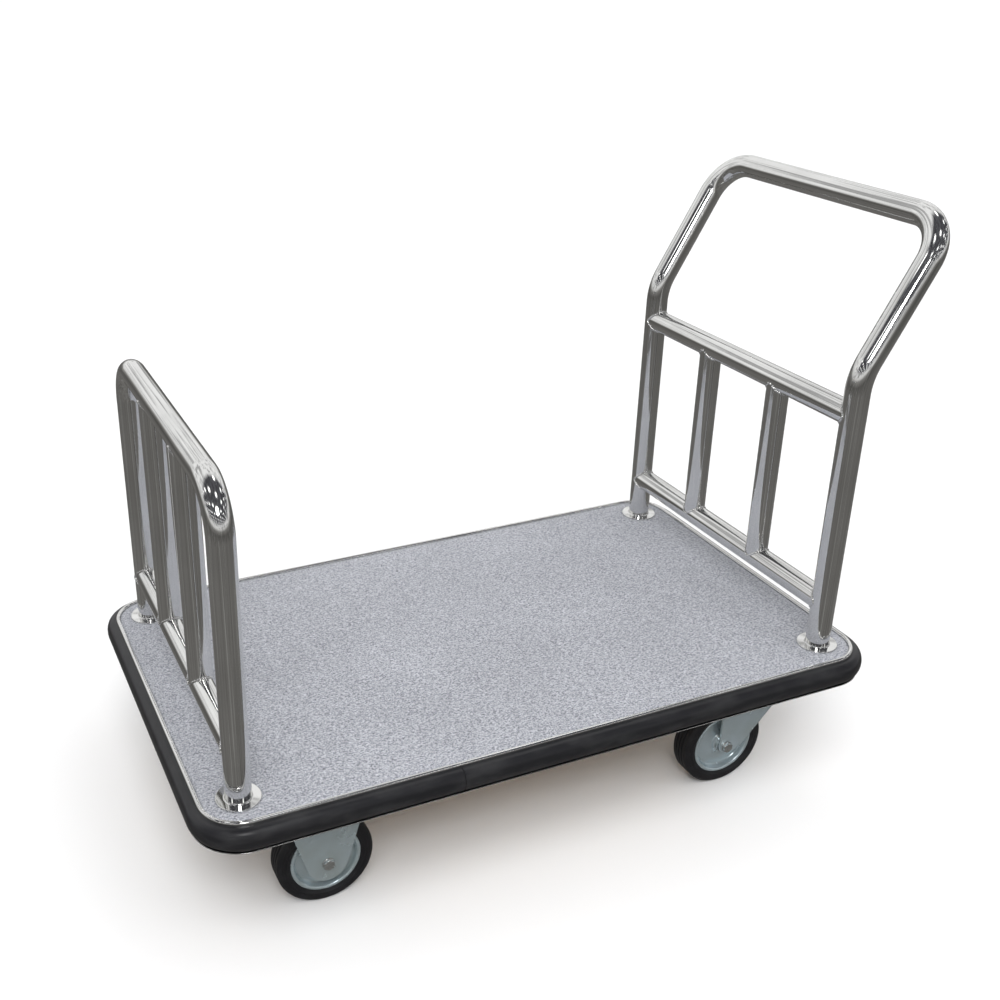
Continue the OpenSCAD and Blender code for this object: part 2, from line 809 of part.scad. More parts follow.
module rigid_side(side) { at_caster(rigid_x, side) children(); }
module swivel_side(side) { at_caster(kingpin_x - trail, side) children(); }
module rigid_both() { rigid_side(-1) children(); rigid_side(1) children(); }

deck_board();
carpet();
edge_band();
bumper();
band_rivets();
side_rails();
end_rails();
middle_rails();
caster_pads();
deck_bolts();
deck_nuts();
post_plugs();
post_bolts();
post_flanges();
handle_tube();
handle_upper_crossbar();
handle_lower_crossbar();
handle_uprights();
rail_tube();
rail_crossbar();
rail_uprights();
caster_bolts();
caster_nuts();
rigid_side(-1) rigid_fork();  // rigid_fork_left
rigid_side(1) rigid_fork();  // rigid_fork_right
rigid_both() axle_bolt();  // rigid_axle_bolts
rigid_both() axle_nut();  // rigid_axle_nuts
rigid_both() axle_sleeve();  // rigid_sleeves
rigid_side(-1) tyre();  // rigid_tyre_left
rigid_side(1) tyre();  // rigid_tyre_right
rigid_side(-1) rim();  // rigid_rim_left
rigid_side(1) rim();  // rigid_rim_right
rigid_side(-1) hub();  // rigid_hub_left
rigid_side(1) hub();  // rigid_hub_right
rigid_side(-1) rollers();  // rigid_rollers_left
rigid_side(1) rollers();  // rigid_rollers_right
swivel_plates();
kingpins();
kingpin_nuts();
swivel_side(-1) swivel_balls();  // swivel_balls_left
swivel_side(1) swivel_balls();  // swivel_balls_right
swivel_side(-1) swivel_fork();  // swivel_fork_left
swivel_side(1) swivel_fork();  // swivel_fork_right
swivel_side(-1) axle_bolt();  // swivel_axle_bolt_left
swivel_side(1) axle_bolt();  // swivel_axle_bolt_right
swivel_side(-1) axle_nut();  // swivel_axle_nut_left
swivel_side(1) axle_nut();  // swivel_axle_nut_right
swivel_side(-1) axle_sleeve();  // swivel_sleeve_left
swivel_side(1) axle_sleeve();  // swivel_sleeve_right
swivel_side(-1) tyre();  // swivel_tyre_left
swivel_side(1) tyre();  // swivel_tyre_right
swivel_side(-1) rim();  // swivel_rim_left
swivel_side(1) rim();  // swivel_rim_right
swivel_side(-1) hub();  // swivel_hub_left
swivel_side(1) hub();  // swivel_hub_right
swivel_side(-1) rollers();  // swivel_rollers_left
swivel_side(1) rollers();  // swivel_rollers_right
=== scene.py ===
"""Looks of the hotel luggage cart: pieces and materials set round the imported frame, in metres."""
import math

import bmesh
import bpy
from mathutils import Matrix, Vector, noise
from mathutils.geometry import delaunay_2d_cdt


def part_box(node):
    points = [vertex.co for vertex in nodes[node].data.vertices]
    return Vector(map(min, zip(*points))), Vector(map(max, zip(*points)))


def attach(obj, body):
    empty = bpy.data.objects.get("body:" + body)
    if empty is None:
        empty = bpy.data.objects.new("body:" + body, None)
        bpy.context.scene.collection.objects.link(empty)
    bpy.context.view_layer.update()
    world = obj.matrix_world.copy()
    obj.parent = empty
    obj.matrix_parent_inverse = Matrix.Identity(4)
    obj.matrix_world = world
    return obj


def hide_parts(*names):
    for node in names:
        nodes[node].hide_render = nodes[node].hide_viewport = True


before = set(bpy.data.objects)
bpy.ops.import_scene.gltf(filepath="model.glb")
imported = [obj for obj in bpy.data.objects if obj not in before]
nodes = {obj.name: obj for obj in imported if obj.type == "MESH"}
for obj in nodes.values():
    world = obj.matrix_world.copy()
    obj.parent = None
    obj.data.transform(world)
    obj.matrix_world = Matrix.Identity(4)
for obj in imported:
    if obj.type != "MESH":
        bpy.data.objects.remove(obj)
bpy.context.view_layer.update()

MM = 0.001
MERGE = 0.001 * MM  # points closer than this are one point

# ---- sizes taken from the frame ----

board_lo, board_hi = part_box("deck_board")
trim_lo, trim_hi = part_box("edge_band")
bumper_lo, bumper_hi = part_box("bumper")
carpet_lo, carpet_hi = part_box("carpet")
handle_lo, handle_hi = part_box("handle_tube")
rail_lo, rail_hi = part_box("rail_tube")
flange_lo, flange_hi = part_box("post_flanges")

BAND_T = 1.5 * MM
CORNER_R = 62 * MM
DECK_X = (board_lo.x + board_hi.x) / 2
HALF_L = (board_hi.x - board_lo.x) / 2 + BAND_T
HALF_W = board_hi.y + BAND_T
TUBE_R = (rail_hi.x - rail_lo.x) / 2
POST_X = DECK_X - (rail_lo.x + rail_hi.x) / 2
POST_Y = rail_hi.y - TUBE_R
LEAN = math.radians(30)
BEND_R = 65 * MM
KINK_R = 100 * MM
TOP_X = handle_hi.x - TUBE_R
TOP_Z = handle_hi.z - TUBE_R
KINK_Z = TOP_Z - (TOP_X - DECK_X - POST_X) / math.tan(LEAN)
RAIL_Z = rail_hi.z - TUBE_R
DECK_Z = trim_hi.z
CORNERS = ((1, -1, -90), (1, 1, 0), (-1, 1, 90), (-1, -1, 180))  # x side, y side, where its arc starts


def middle(node):
    """Middle of a CAD node's box."""
    low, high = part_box(node)
    return (low + high) / 2


def half_size(node):
    """Half the size of a CAD node's box."""
    low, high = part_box(node)
    return (high - low) / 2


# ---- mesh tools ----

def add_object(name, data):
    """A new object in the scene."""
    made = bpy.data.objects.new(name, data)
    bpy.context.scene.collection.objects.link(made)
    return made


def make_piece(name, verts, faces, body, slot, replaces=(), sharp=35):
    """A smooth-shaded piece that rides on a body; edges over the sharp angle stay crisp."""
    mesh = bpy.data.meshes.new(name)
    mesh.from_pydata([tuple(v) for v in verts], [], faces)
    work = bmesh.new()
    work.from_mesh(mesh)
    bmesh.ops.remove_doubles(work, verts=work.verts, dist=MERGE)
    bmesh.ops.dissolve_degenerate(work, edges=work.edges, dist=MERGE)
    bmesh.ops.recalc_face_normals(work, faces=work.faces)
    work.to_mesh(mesh)
    work.free()
    mesh.shade_smooth()
    mesh.set_sharp_from_angle(angle=math.radians(sharp))
    piece = add_object(name, mesh)
    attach(piece, body)
    if replaces:
        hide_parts(*replaces)
    mesh.materials.append(materials[slot])
    return piece


def loft(rings, ring_closed=True, loop=False, caps=False):
    """Points and faces of a skin through rings that have the same number of points."""
    count = len(rings[0])
    spans = len(rings) if loop else len(rings) - 1
    faces = []
    for i in range(spans):
        a, b = i * count, (i + 1) % len(rings) * count
        for j in range(count if ring_closed else count - 1):
            k = (j + 1) % count
            faces.append((a + j, a + k, b + k, b + j))
    if caps:
        faces.append(tuple(reversed(range(count))))
        faces.append(tuple(range(spans * count, (spans + 1) * count)))
    return [p for ring in rings for p in ring], faces


def join(*parts):
    """Several (points, faces) pairs as one."""
    verts, faces = [], []
    for part_verts, part_faces in parts:
        start = len(verts)
        verts += part_verts
        faces += [tuple(start + i for i in face) for face in part_faces]
    return verts, faces


def moved(part, matrix):
    """A (points, faces) pair carried by a matrix."""
    return [matrix @ Vector(v) for v in part[0]], part[1]


def turn_steps(count):
    """Evenly spread angles of a full turn."""
    return [2 * math.pi * i / count for i in range(count)]


def ring(x, y, radius, count):
    """Points of a circle, as (x, y) pairs."""
    return [(x + radius * math.cos(t), y + radius * math.sin(t)) for t in turn_steps(count)]


def rounded_path(corners, radii, arc_steps=20):
    """The corners as a path whose inner corners are arcs of the given radii."""
    path = [corners[0]]
    for before, corner, after, radius in zip(corners, corners[1:], corners[2:], radii):
        a, b = (before - corner).normalized(), (after - corner).normalized()
        half = a.angle(b) / 2
        centre = corner + (a + b).normalized() * radius / math.sin(half)
        start = corner + a * radius / math.tan(half) - centre
        end = corner + b * radius / math.tan(half) - centre
        for i in range(arc_steps + 1):
            path.append(centre + start.slerp(end, i / arc_steps) * radius)
    return path + [corners[-1]]


def sweep(path, radius, sides=64, loop=False, caps=True, radius_at=None):
    """A round tube along a path, its rings turned no more than the path turns."""
    count = len(path)
    tangents = []
    for i in range(count):
        if loop:
            step = path[(i + 1) % count] - path[i - 1]
        else:
            step = path[min(i + 1, count - 1)] - path[max(i - 1, 0)]
        tangents.append(step.normalized())
    side = tangents[0].orthogonal().normalized()
    rings = []
    for i, (point, tangent) in enumerate(zip(path, tangents)):
        side = (side - tangent * side.dot(tangent)).normalized()
        up = tangent.cross(side)
        r = radius_at(i) if radius_at else radius
        rings.append([point + side * x * r + up * y * r for x, y in ring(0, 0, 1, sides)])
    return loft(rings, loop=loop, caps=caps and not loop)


def revolve(profile, sides=96, closed=True):
    """A [radius, height] profile turned round the Z axis."""
    rings = [[Vector((r * math.cos(t), r * math.sin(t), z)) for r, z in profile]
             for t in turn_steps(sides)]
    return loft(rings, ring_closed=closed, loop=True)


def arc(centre_x, centre_y, radius, start, end, steps):
    """Points of an arc, its angles in degrees."""
    return [(centre_x + radius * math.cos(math.radians(start + (end - start) * i / steps)),
             centre_y + radius * math.sin(math.radians(start + (end - start) * i / steps)))
            for i in range(steps + 1)]


def deck_line(out=0.0, corner_steps=16, side_steps=12):
    """(point, outward direction) pairs round the deck's edge moved outward, from the near right corner."""
    line = []
    for x_sign, y_sign, start in CORNERS:
        cx, cy = DECK_X + x_sign * (HALF_L - CORNER_R), y_sign * (HALF_W - CORNER_R)
        for i in range(corner_steps + 1):
            t = math.radians(start + 90 * i / corner_steps)
            normal = Vector((math.cos(t), math.sin(t), 0))
            line.append((Vector((cx, cy, 0)) + normal * (CORNER_R + out), normal))
    full = []
    for (a, normal), (b, _) in zip(line, line[1:] + line[:1]):
        full.append((a, normal))
        if (a - b).length > 3 * CORNER_R:
            full += [(a.lerp(b, i / side_steps), normal) for i in range(1, side_steps)]
    return full


def carry_round(profile, ends=None):
    """Carries an [outward, up] profile round the deck; ends is the gap of a joint in it."""
    line = deck_line()
    if ends:
        x, gap = ends
        split = max(i for i, (p, n) in enumerate(line) if n.y < -0.999 and p.x < x)
        line = line[split + 1:] + line[:split + 1]
        near = Vector((0, -1, 0))
        line = ([(Vector((x + gap / 2, -HALF_W, 0)), near)] + line
                + [(Vector((x - gap / 2, -HALF_W, 0)), near)])
    rings = [[p + n * out + Vector((0, 0, z)) for out, z in profile] for p, n in line]
    return loft(rings, loop=not ends, caps=bool(ends))


def deck_inside(x, y, inset):
    """Distance from (x, y) to the deck's edge line less an inset, positive inside."""
    qx = abs(x - DECK_X) - (HALF_L - CORNER_R)
    qy = abs(y) - (HALF_W - CORNER_R)
    return CORNER_R - inset - (math.hypot(max(qx, 0), max(qy, 0)) + min(max(qx, qy), 0))


def smooth(t):
    """An even step from 0 to 1, flat at both ends."""
    t = min(max(t, 0), 1)
    return t * t * (3 - 2 * t)


def sheet_mesh(loops, inner_points, top, bottom):
    """A closed plate: the first loop is its outline, the others holes; top and bottom give heights."""
    points, edges = [], []
    for loop in loops:
        start = len(points)
        points += loop
        edges += [(start + i, start + (i + 1) % len(loop)) for i in range(len(loop))]
    points += inner_points
    flat, _, triangles, *_ = delaunay_2d_cdt([Vector(p) for p in points], edges, [], 0, 1e-7)
    keep = []
    for tri in triangles:
        cx = sum(flat[i].x for i in tri) / 3
        cy = sum(flat[i].y for i in tri) / 3
        if point_in(cx, cy, loops[0]) and not any(point_in(cx, cy, hole) for hole in loops[1:]):
            keep.append(tuple(tri))
    count = len(flat)
    verts = [Vector((p.x, p.y, top(p.x, p.y))) for p in flat]
    verts += [Vector((p.x, p.y, bottom(p.x, p.y))) for p in flat]
    faces = keep + [tuple(count + i for i in reversed(tri)) for tri in keep]
    border = {}
    for tri in keep:
        for a, b in zip(tri, tri[1:] + tri[:1]):
            if (b, a) in border:
                del border[(b, a)]
            else:
                border[(a, b)] = True
    faces += [(b, a, count + a, count + b) for a, b in border]
    return verts, faces


def point_in(x, y, loop):
    """Whether (x, y) is inside the closed loop."""
    inside = False
    for (ax, ay), (bx, by) in zip(loop, loop[1:] + loop[:1]):
        if (ay > y) != (by > y) and x < (bx - ax) * (y - ay) / (by - ay) + ax:
            inside = not inside
    return inside


# ---- materials ----

def add_node(tree, kind, inputs=None, **settings):
    """A shader node; inputs are values or other nodes' output sockets."""
    made = tree.nodes.new("ShaderNode" + kind)
    for name, value in settings.items():
        setattr(made, name, value)
    for name, value in (inputs or {}).items():
        if isinstance(value, bpy.types.NodeSocket):
            tree.links.new(value, made.inputs[name])
        else:
            made.inputs[name].default_value = value
    return made


def new_material(name, **constants):
    """A material with its shader; constants are socket names with _ for spaces."""
    material = bpy.data.materials.new(name)
    material.use_nodes = True
    shader = material.node_tree.nodes["Principled BSDF"]
    for socket, value in constants.items():
        shader.inputs[socket.replace("_", " ")].default_value = value
    return material, material.node_tree, shader


def noise_map(tree, scale, detail=3.0, stretch=(1, 1, 1), roughness=0.5):
    """Noise over the piece's own coordinates; scale is in waves a metre."""
    place = add_node(tree, "TexCoord")
    mapping = add_node(tree, "Mapping", {"Vector": place.outputs["Object"], "Scale": stretch})
    return add_node(tree, "TexNoise", {"Vector": mapping.outputs["Vector"], "Scale": scale,
                                       "Detail": detail, "Roughness": roughness}).outputs["Fac"]


def ramp(tree, fac, stops, interpolation="LINEAR"):
    """A colour ramp; stops are (position, colour or grey)."""
    made = add_node(tree, "ValToRGB", {"Fac": fac})
    elements = made.color_ramp.elements
    made.color_ramp.interpolation = interpolation
    while len(elements) < len(stops):
        elements.new(0.5)
    for element, (position, colour) in zip(elements, stops):
        element.position = position
        element.color = (*colour, 1) if hasattr(colour, "__len__") else (colour,) * 3 + (1,)
    return made.outputs["Color"]


def spread(tree, value, low, high, to_low, to_high):
    """The value's range low to high carried over to to_low to to_high."""
    return add_node(tree, "MapRange", {"Value": value, "From Min": low, "From Max": high,
                                       "To Min": to_low, "To Max": to_high}).outputs["Result"]


def mixed(tree, a, b, factor=1.0, blend="MULTIPLY"):
    """Colour b blended over colour a; each value may be an output socket."""
    return add_node(tree, "Mix", {0: factor, 6: a, 7: b}, data_type="RGBA",
                    blend_type=blend).outputs[2]


def bump(tree, shader, height, distance, strength=1.0, under=None):
    """Fine relief, laid over the relief under it."""
    inputs = {"Height": height, "Distance": distance, "Strength": strength}
    if under is not None:
        inputs["Normal"] = under
    made = add_node(tree, "Bump", inputs)
    tree.links.new(made.outputs["Normal"], shader.inputs["Normal"])
    return made.outputs["Normal"]


def metal(name, light, dark, rough, patch_scale, grain_scale, grain_depth, metallic=1.0):
    """Metal whose tint and roughness drift in patches, over a fine grain."""
    material, tree, shader = new_material(name, Metallic=metallic)
    patches = noise_map(tree, patch_scale, 4)
    tint = ramp(tree, patches, [(0.3, dark), (0.7, light)])
    tree.links.new(tint, shader.inputs["Base Color"])
    smears = noise_map(tree, patch_scale * 2.3, 5)
    tree.links.new(spread(tree, smears, 0.3, 0.7, *rough), shader.inputs["Roughness"])
    bump(tree, shader, noise_map(tree, grain_scale, 2), grain_depth, 0.5)
    return material


def polished_stainless():
    """Mirror-polished steel: a slow waviness, wiped smears and hair-fine polishing lines."""
    material, tree, shader = new_material("polished_stainless", Metallic=1.0)
    patches = noise_map(tree, 9, 4)
    tree.links.new(ramp(tree, patches, [(0.3, (0.70, 0.70, 0.69)), (0.7, (0.80, 0.80, 0.79))]),
                   shader.inputs["Base Color"])
    smears = noise_map(tree, 16, 6, (1, 1, 0.4))
    tree.links.new(spread(tree, smears, 0.35, 0.7, 0.05, 0.13), shader.inputs["Roughness"])
    waves = bump(tree, shader, noise_map(tree, 14, 2), 0.4 * MM, 0.25)
    lines = noise_map(tree, 1500, 2, (1, 1, 0.02))
    bump(tree, shader, lines, 0.01 * MM, 0.15, waves)
    return material


def carpet_material():
    """Grey heather carpet: mixed light and dark yarn flecks in a tight low pile."""
    material, tree, shader = new_material("heather_carpet", Roughness=0.95, Sheen_Weight=0.25,
                                          Sheen_Roughness=0.5, Specular_IOR_Level=0.15)
    fleck = noise_map(tree, 420, 2, (1, 0.8, 1), 0.65)
    cross = noise_map(tree, 420, 2, (0.5, 1, 1), 0.65)
    yarn = add_node(tree, "Math", {0: fleck, 1: cross}, operation="ADD").outputs["Value"]
    colour = ramp(tree, spread(tree, yarn, 0.7, 1.3, 0, 1), [
        (0.0, (0.125, 0.13, 0.15)), (0.33, (0.27, 0.28, 0.31)),
        (0.55, (0.385, 0.395, 0.43)), (1.0, (0.60, 0.61, 0.65))])
    wear = spread(tree, noise_map(tree, 5, 3), 0.3, 0.7, 0.94, 1.05)
    tree.links.new(mixed(tree, colour, wear), shader.inputs["Base Color"])
    loops = noise_map(tree, 620, 2)
    pile = add_node(tree, "Math", {0: yarn, 1: loops}, operation="ADD").outputs["Value"]
    bump(tree, shader, pile, 0.8 * MM, 0.6)
    return material


def rubber(name, colour, rough, scuff):
    """Black rubber with a faint moulded grain and paler scuffed patches."""
    material, tree, shader = new_material(name, Specular_IOR_Level=0.5)
    scuffs = noise_map(tree, 22, 6, (1, 1, 3))
    paler = tuple(c + scuff for c in colour)
    tree.links.new(ramp(tree, scuffs, [(0.45, colour), (0.75, paler)]), shader.inputs["Base Color"])
    tree.links.new(spread(tree, scuffs, 0.3, 0.7, *rough), shader.inputs["Roughness"])
    bump(tree, shader, noise_map(tree, 900, 3), 0.12 * MM, 0.4)
    return material


def plywood():
    """Birch plywood: long grain and thin glued plies up its edge."""
    material, tree, shader = new_material("plywood", Roughness=0.6)
    grain = noise_map(tree, 18, 6, (0.15, 3, 1))
    place = add_node(tree, "TexCoord").outputs["Object"]
    plies = add_node(tree, "TexWave", {"Vector": place, "Scale": 110, "Distortion": 1.5},
                     bands_direction="Z")
    wood = ramp(tree, grain, [(0.3, (0.42, 0.28, 0.15)), (0.7, (0.62, 0.45, 0.27))])
    edge = ramp(tree, plies.outputs["Fac"], [(0.3, 0.75), (0.6, 1.0)])
    tree.links.new(mixed(tree, wood, edge), shader.inputs["Base Color"])
    bump(tree, shader, grain, 0.2 * MM, 0.4)
    return material


def frame_paint():
    """Black satin powder coat with its fine orange peel."""
    material, tree, shader = new_material("frame_paint", Specular_IOR_Level=0.5)
    peel = noise_map(tree, 420, 2)
    patches = noise_map(tree, 12, 4)
    tree.links.new(ramp(tree, patches, [(0.3, (0.018, 0.018, 0.02)), (0.7, (0.035, 0.035, 0.038))]),
                   shader.inputs["Base Color"])
    tree.links.new(spread(tree, patches, 0.3, 0.7, 0.35, 0.5), shader.inputs["Roughness"])
    bump(tree, shader, peel, 0.08 * MM, 0.6)
    return material


materials = {
    "polished_stainless": polished_stainless(),
    "zinc_steel": metal("zinc_steel", (0.58, 0.68, 0.74), (0.46, 0.53, 0.53), rough=(0.16, 0.30),
                        patch_scale=14, grain_scale=500, grain_depth=0.05 * MM, metallic=0.7),
    "fastener_steel": metal("fastener_steel", (0.80, 0.82, 0.82), (0.66, 0.68, 0.68), rough=(0.16, 0.30),
                            patch_scale=60, grain_scale=900, grain_depth=0.02 * MM),
    "bearing_steel": metal("bearing_steel", (0.82, 0.82, 0.82), (0.72, 0.72, 0.72), rough=(0.08, 0.16),
                           patch_scale=90, grain_scale=1500, grain_depth=0.01 * MM),
    "carpet": carpet_material(),
    "bumper_rubber": rubber("bumper_rubber", (0.009, 0.009, 0.011), rough=(0.30, 0.44), scuff=0.015),
    "tyre_rubber": rubber("tyre_rubber", (0.006, 0.006, 0.008), rough=(0.42, 0.58), scuff=0.008),
    "plywood": plywood(),
    "frame_paint": frame_paint(),
}

for cad_node in nodes.values():
    for i, held in enumerate(cad_node.data.materials):
        cad_node.data.materials[i] = materials[held.name.split(".")[0]]


# ---- frames ----

def post_foot(x, y_sign, z):
    """A point on a post's middle line, x from the deck's middle."""
    return Vector((DECK_X + x, y_sign * POST_Y, z))


def bent_frame(name, corners, radii, node):
    """A bent tube that is the same on both sides; corners are those of the left half."""
    other = [Vector((c.x, -c.y, c.z)) for c in reversed(corners)]
    path = rounded_path(corners + other, radii + radii[::-1])
    return make_piece(name, *sweep(path, TUBE_R, 72), "cart", "polished_stainless", [node])


FOOT_Z = handle_lo.z
bent_frame("handle_bent_tube", [
    post_foot(POST_X, -1, FOOT_Z), post_foot(POST_X, -1, KINK_Z), Vector((TOP_X, -POST_Y, TOP_Z))],
    [KINK_R, BEND_R], "handle_tube")
bent_frame("rail_bent_tube", [
    post_foot(-POST_X, -1, FOOT_Z), post_foot(-POST_X, -1, RAIL_Z)], [BEND_R], "rail_tube")


def cross_bar(name, node):
    """A level bar from post to post; gives its middle and radius."""
    centre, r = middle(node), half_size(node).z
    path = [centre + Vector((0, y, 0)) for y in (-POST_Y, 0, POST_Y)]
    make_piece(name, *sweep(path, r, 72), "cart", "polished_stainless", [node])
    return centre, r


def upright_pair(name, node, low_z, high_z):
    """Two uprights between bars at the given heights; gives their places and radius."""
    centre, half = middle(node), half_size(node)
    r = half.x
    places = [Vector((centre.x, sign * (half.y - r), 0)) for sign in (-1, 1)]
    tubes = [sweep([p + Vector((0, 0, z)) for z in (low_z, (low_z + high_z) / 2, high_z)], r, 72)
             for p in places]
    make_piece(name, *join(*tubes), "cart", "polished_stainless", [node])
    return places, r


handle_top_bar, BAR_R = cross_bar("handle_upper_bar", "handle_upper_crossbar")
handle_low_bar, _ = cross_bar("handle_lower_bar", "handle_lower_crossbar")
rail_low_bar, _ = cross_bar("rail_lower_bar", "rail_crossbar")
handle_feet, UPRIGHT_R = upright_pair("handle_upright_pair", "handle_uprights",
                                      handle_low_bar.z, handle_top_bar.z)
rail_feet, _ = upright_pair("rail_upright_pair", "rail_uprights", rail_low_bar.z, RAIL_Z)

WELD_R = 1.5 * MM
WELD_OUT = 0.35 * WELD_R
WELD_STEPS = 132


def weld(start, along, across, branch_r, main_r):
    """A rippled bead where a branch tube that runs along meets a main tube that runs across."""
    third = along.cross(across)
    path = []
    for side, up in ring(0, 0, branch_r + WELD_OUT, WELD_STEPS):
        reach = math.sqrt(max((main_r + WELD_OUT) ** 2 - side ** 2, 0))
        path.append(start + third * side + across * up + along * reach)
    return sweep(path, WELD_R, 10, loop=True,
                 radius_at=lambda i: WELD_R * (1 + 0.16 * math.cos(2 * math.pi * i / 3)))


Y, Z = Vector((0, 1, 0)), Vector((0, 0, 1))
beads = []
for bar in (handle_top_bar, handle_low_bar, rail_low_bar):
    for sign in (-1, 1):
        beads.append(weld(bar + Y * sign * POST_Y, Y * -sign, Z, BAR_R, TUBE_R))
for feet, low_bar, high_z, high_r in ((handle_feet, handle_low_bar, handle_top_bar.z, BAR_R),
                                      (rail_feet, rail_low_bar, RAIL_Z, TUBE_R)):
    for foot in feet:
        beads.append(weld(foot + Z * low_bar.z, Z, Y, UPRIGHT_R, BAR_R))
        beads.append(weld(foot + Z * high_z, -Z, Y, UPRIGHT_R, high_r))
make_piece("frame_welds", *join(*beads), "cart", "polished_stainless")


# ---- post flanges ----

FLANGE_R = flange_hi.y - POST_Y
FLANGE_HOLE_R = TUBE_R + 0.1 * MM
FLANGE_ROUND = 1.2 * MM
COLLAR_FILLET = 2.0 * MM
flange_profile = (
    [(FLANGE_HOLE_R, flange_lo.z), (FLANGE_R, flange_lo.z)]
    + arc(FLANGE_R - FLANGE_ROUND, flange_hi.z - FLANGE_ROUND, FLANGE_ROUND, 0, 90, 6)
    + arc(TUBE_R + 2.2 * MM, flange_hi.z + COLLAR_FILLET, COLLAR_FILLET, 270, 185, 6)
    + [(FLANGE_HOLE_R, flange_hi.z + COLLAR_FILLET)])
flanges = [moved(revolve(flange_profile), Matrix.Translation(post_foot(x, sign, 0)))
           for x in (-POST_X, POST_X) for sign in (-1, 1)]
make_piece("post_base_flanges", *join(*flanges), "cart", "polished_stainless", ["post_flanges"])


# ---- carpet ----

CARPET_INSET = carpet_lo.y + HALF_W
ROLL_W = 13 * MM
ROLL_DROP = 2.6 * MM
CREASE_AT, CREASE_W, CREASE_DEPTH = 1.15 * ROLL_W, 1.6 * MM, 0.45 * MM
HOLE_R = FLANGE_R + 0.3 * MM
HOLE_STEPS = 60
TUCK_W, TUCK_DEPTH = 3.5 * MM, 0.9 * MM
EDGE_STEPS = 90
CLEAR_OF_EDGE, CLEAR_OF_HOLE = 18 * MM, 6 * MM
posts = [(DECK_X + x, y) for x in (-POST_X, POST_X) for y in (-POST_Y, POST_Y)]


def carpet_top(x, y):
    """Height of the pile: rolled at the edge, creased beside the roll, tucked round the flanges."""
    edge = deck_inside(x, y, CARPET_INSET)
    hole = min(math.hypot(x - px, y - py) for px, py in posts) - HOLE_R
    roll = 1 - math.sqrt(max(1 - (1 - min(max(edge, 0) / ROLL_W, 1)) ** 2, 0))
    crease = CREASE_DEPTH * math.exp(-((edge - CREASE_AT) / CREASE_W) ** 2)
    tuck = TUCK_DEPTH * (1 - smooth(hole / TUCK_W))
    pile = sum(depth * noise.noise(Vector((x, y, layer)) * waves)
               for depth, layer, waves in ((0.18 * MM, 0, 130), (0.25 * MM, 3, 17)))
    return carpet_hi.z - ROLL_DROP * roll - crease - tuck + pile


def carpet_edge(depth=0.0):
    """The carpet's outline, moved inward by depth."""
    return [(p.x, p.y) for p, n in deck_line(-CARPET_INSET - depth, side_steps=EDGE_STEPS)]


def carpet_inner(step=5 * MM):
    """Points inside the carpet: close lines along its edge and holes, and a grid between them."""
    inner = []
    for depth in (1.2, 2.6, 4.4, 6.6, 9.2, 12.2, 15.5):
        inner += carpet_edge(depth * MM)
    for px, py in posts:
        for grow in (1.2, 2.4, 3.8):
            inner += ring(px, py, HOLE_R + grow * MM, HOLE_STEPS)
    across, along = int(2 * HALF_W / step), int(2 * HALF_L / step)
    for i in range(along + 1):
        for j in range(across + 1):
            x, y = DECK_X - HALF_L + i * step, -HALF_W + (j + 0.5 * (i % 2)) * step
            clear = min(math.hypot(x - px, y - py) for px, py in posts) - HOLE_R
            if deck_inside(x, y, CARPET_INSET) > CLEAR_OF_EDGE and clear > CLEAR_OF_HOLE:
                inner.append((x, y))
    return inner


carpet_loops = [carpet_edge()] + [ring(px, py, HOLE_R, HOLE_STEPS) for px, py in posts]
carpet_plate = sheet_mesh(carpet_loops, carpet_inner(), carpet_top, lambda x, y: carpet_lo.z)
carpet_piece = make_piece("deck_carpet", *carpet_plate, "cart", "carpet", ["carpet"], sharp=60)


# ---- edge trim and bumper ----

BEAD_R = 3.5 * MM
LIP_OUT = trim_hi.y - HALF_W
LIP_R = BAND_T / 2
trim_profile = (
    [(-2 * BEAD_R, board_hi.z)]
    + arc(-BEAD_R, DECK_Z - BEAD_R, BEAD_R, 180, 0, 14)
    + [(0.0, trim_lo.z + BAND_T), (LIP_OUT - 0.7 * MM, trim_lo.z + BAND_T)]
    + arc(LIP_OUT - LIP_R, trim_lo.z + LIP_R, LIP_R, 90, -90, 6)
    + [(-BAND_T, trim_lo.z), (-BAND_T, board_hi.z)])
make_piece("steel_edge_trim", *carry_round(trim_profile), "cart", "polished_stainless", ["edge_band"])

BUMPER_OUT = bumper_hi.y - HALF_W
BUMPER_MID = (bumper_lo.z + bumper_hi.z) / 2
BUMPER_HALF = (bumper_hi.z - bumper_lo.z) / 2
BUMPER_FLATNESS = (0.78, 0.92)
BUMPER_JOINT = (DECK_X - 183 * MM, 0.8 * MM)


def bumper_profile(steps=40):
    """A rounded D, its face flatter than a half circle."""
    points = []
    for c, s in arc(0, 0, 1, -90, 90, steps):
        out = BUMPER_OUT * abs(c) ** BUMPER_FLATNESS[0]
        up = BUMPER_HALF * math.copysign(abs(s) ** BUMPER_FLATNESS[1], s)
        points.append((out, BUMPER_MID + up))
    return points


make_piece("bumper_strip", *carry_round(bumper_profile(), BUMPER_JOINT),
           "cart", "bumper_rubber", ["bumper"], sharp=50)


# ---- casters ----

def spline(points, steps=5):
    """A smooth line through all the points."""
    ends = [points[0]] + list(points) + [points[-1]]
    line = []
    for a, b, c, d in zip(ends, ends[1:], ends[2:], ends[3:]):
        for t in (i / steps for i in range(steps)):
            line.append(tuple(0.5 * (2 * q + (r - p) * t + (2 * p - 5 * q + 4 * r - s) * t ** 2
                                     + (3 * q - p - 3 * r + s) * t ** 3)
                              for p, q, r, s in zip(a, b, c, d)))
    return line + [points[-1]]


def both_halves(half_profile):
    """A half section, from the middle plane outward, with its mirror image."""
    return [(r, -o) for r, o in reversed(half_profile)] + half_profile


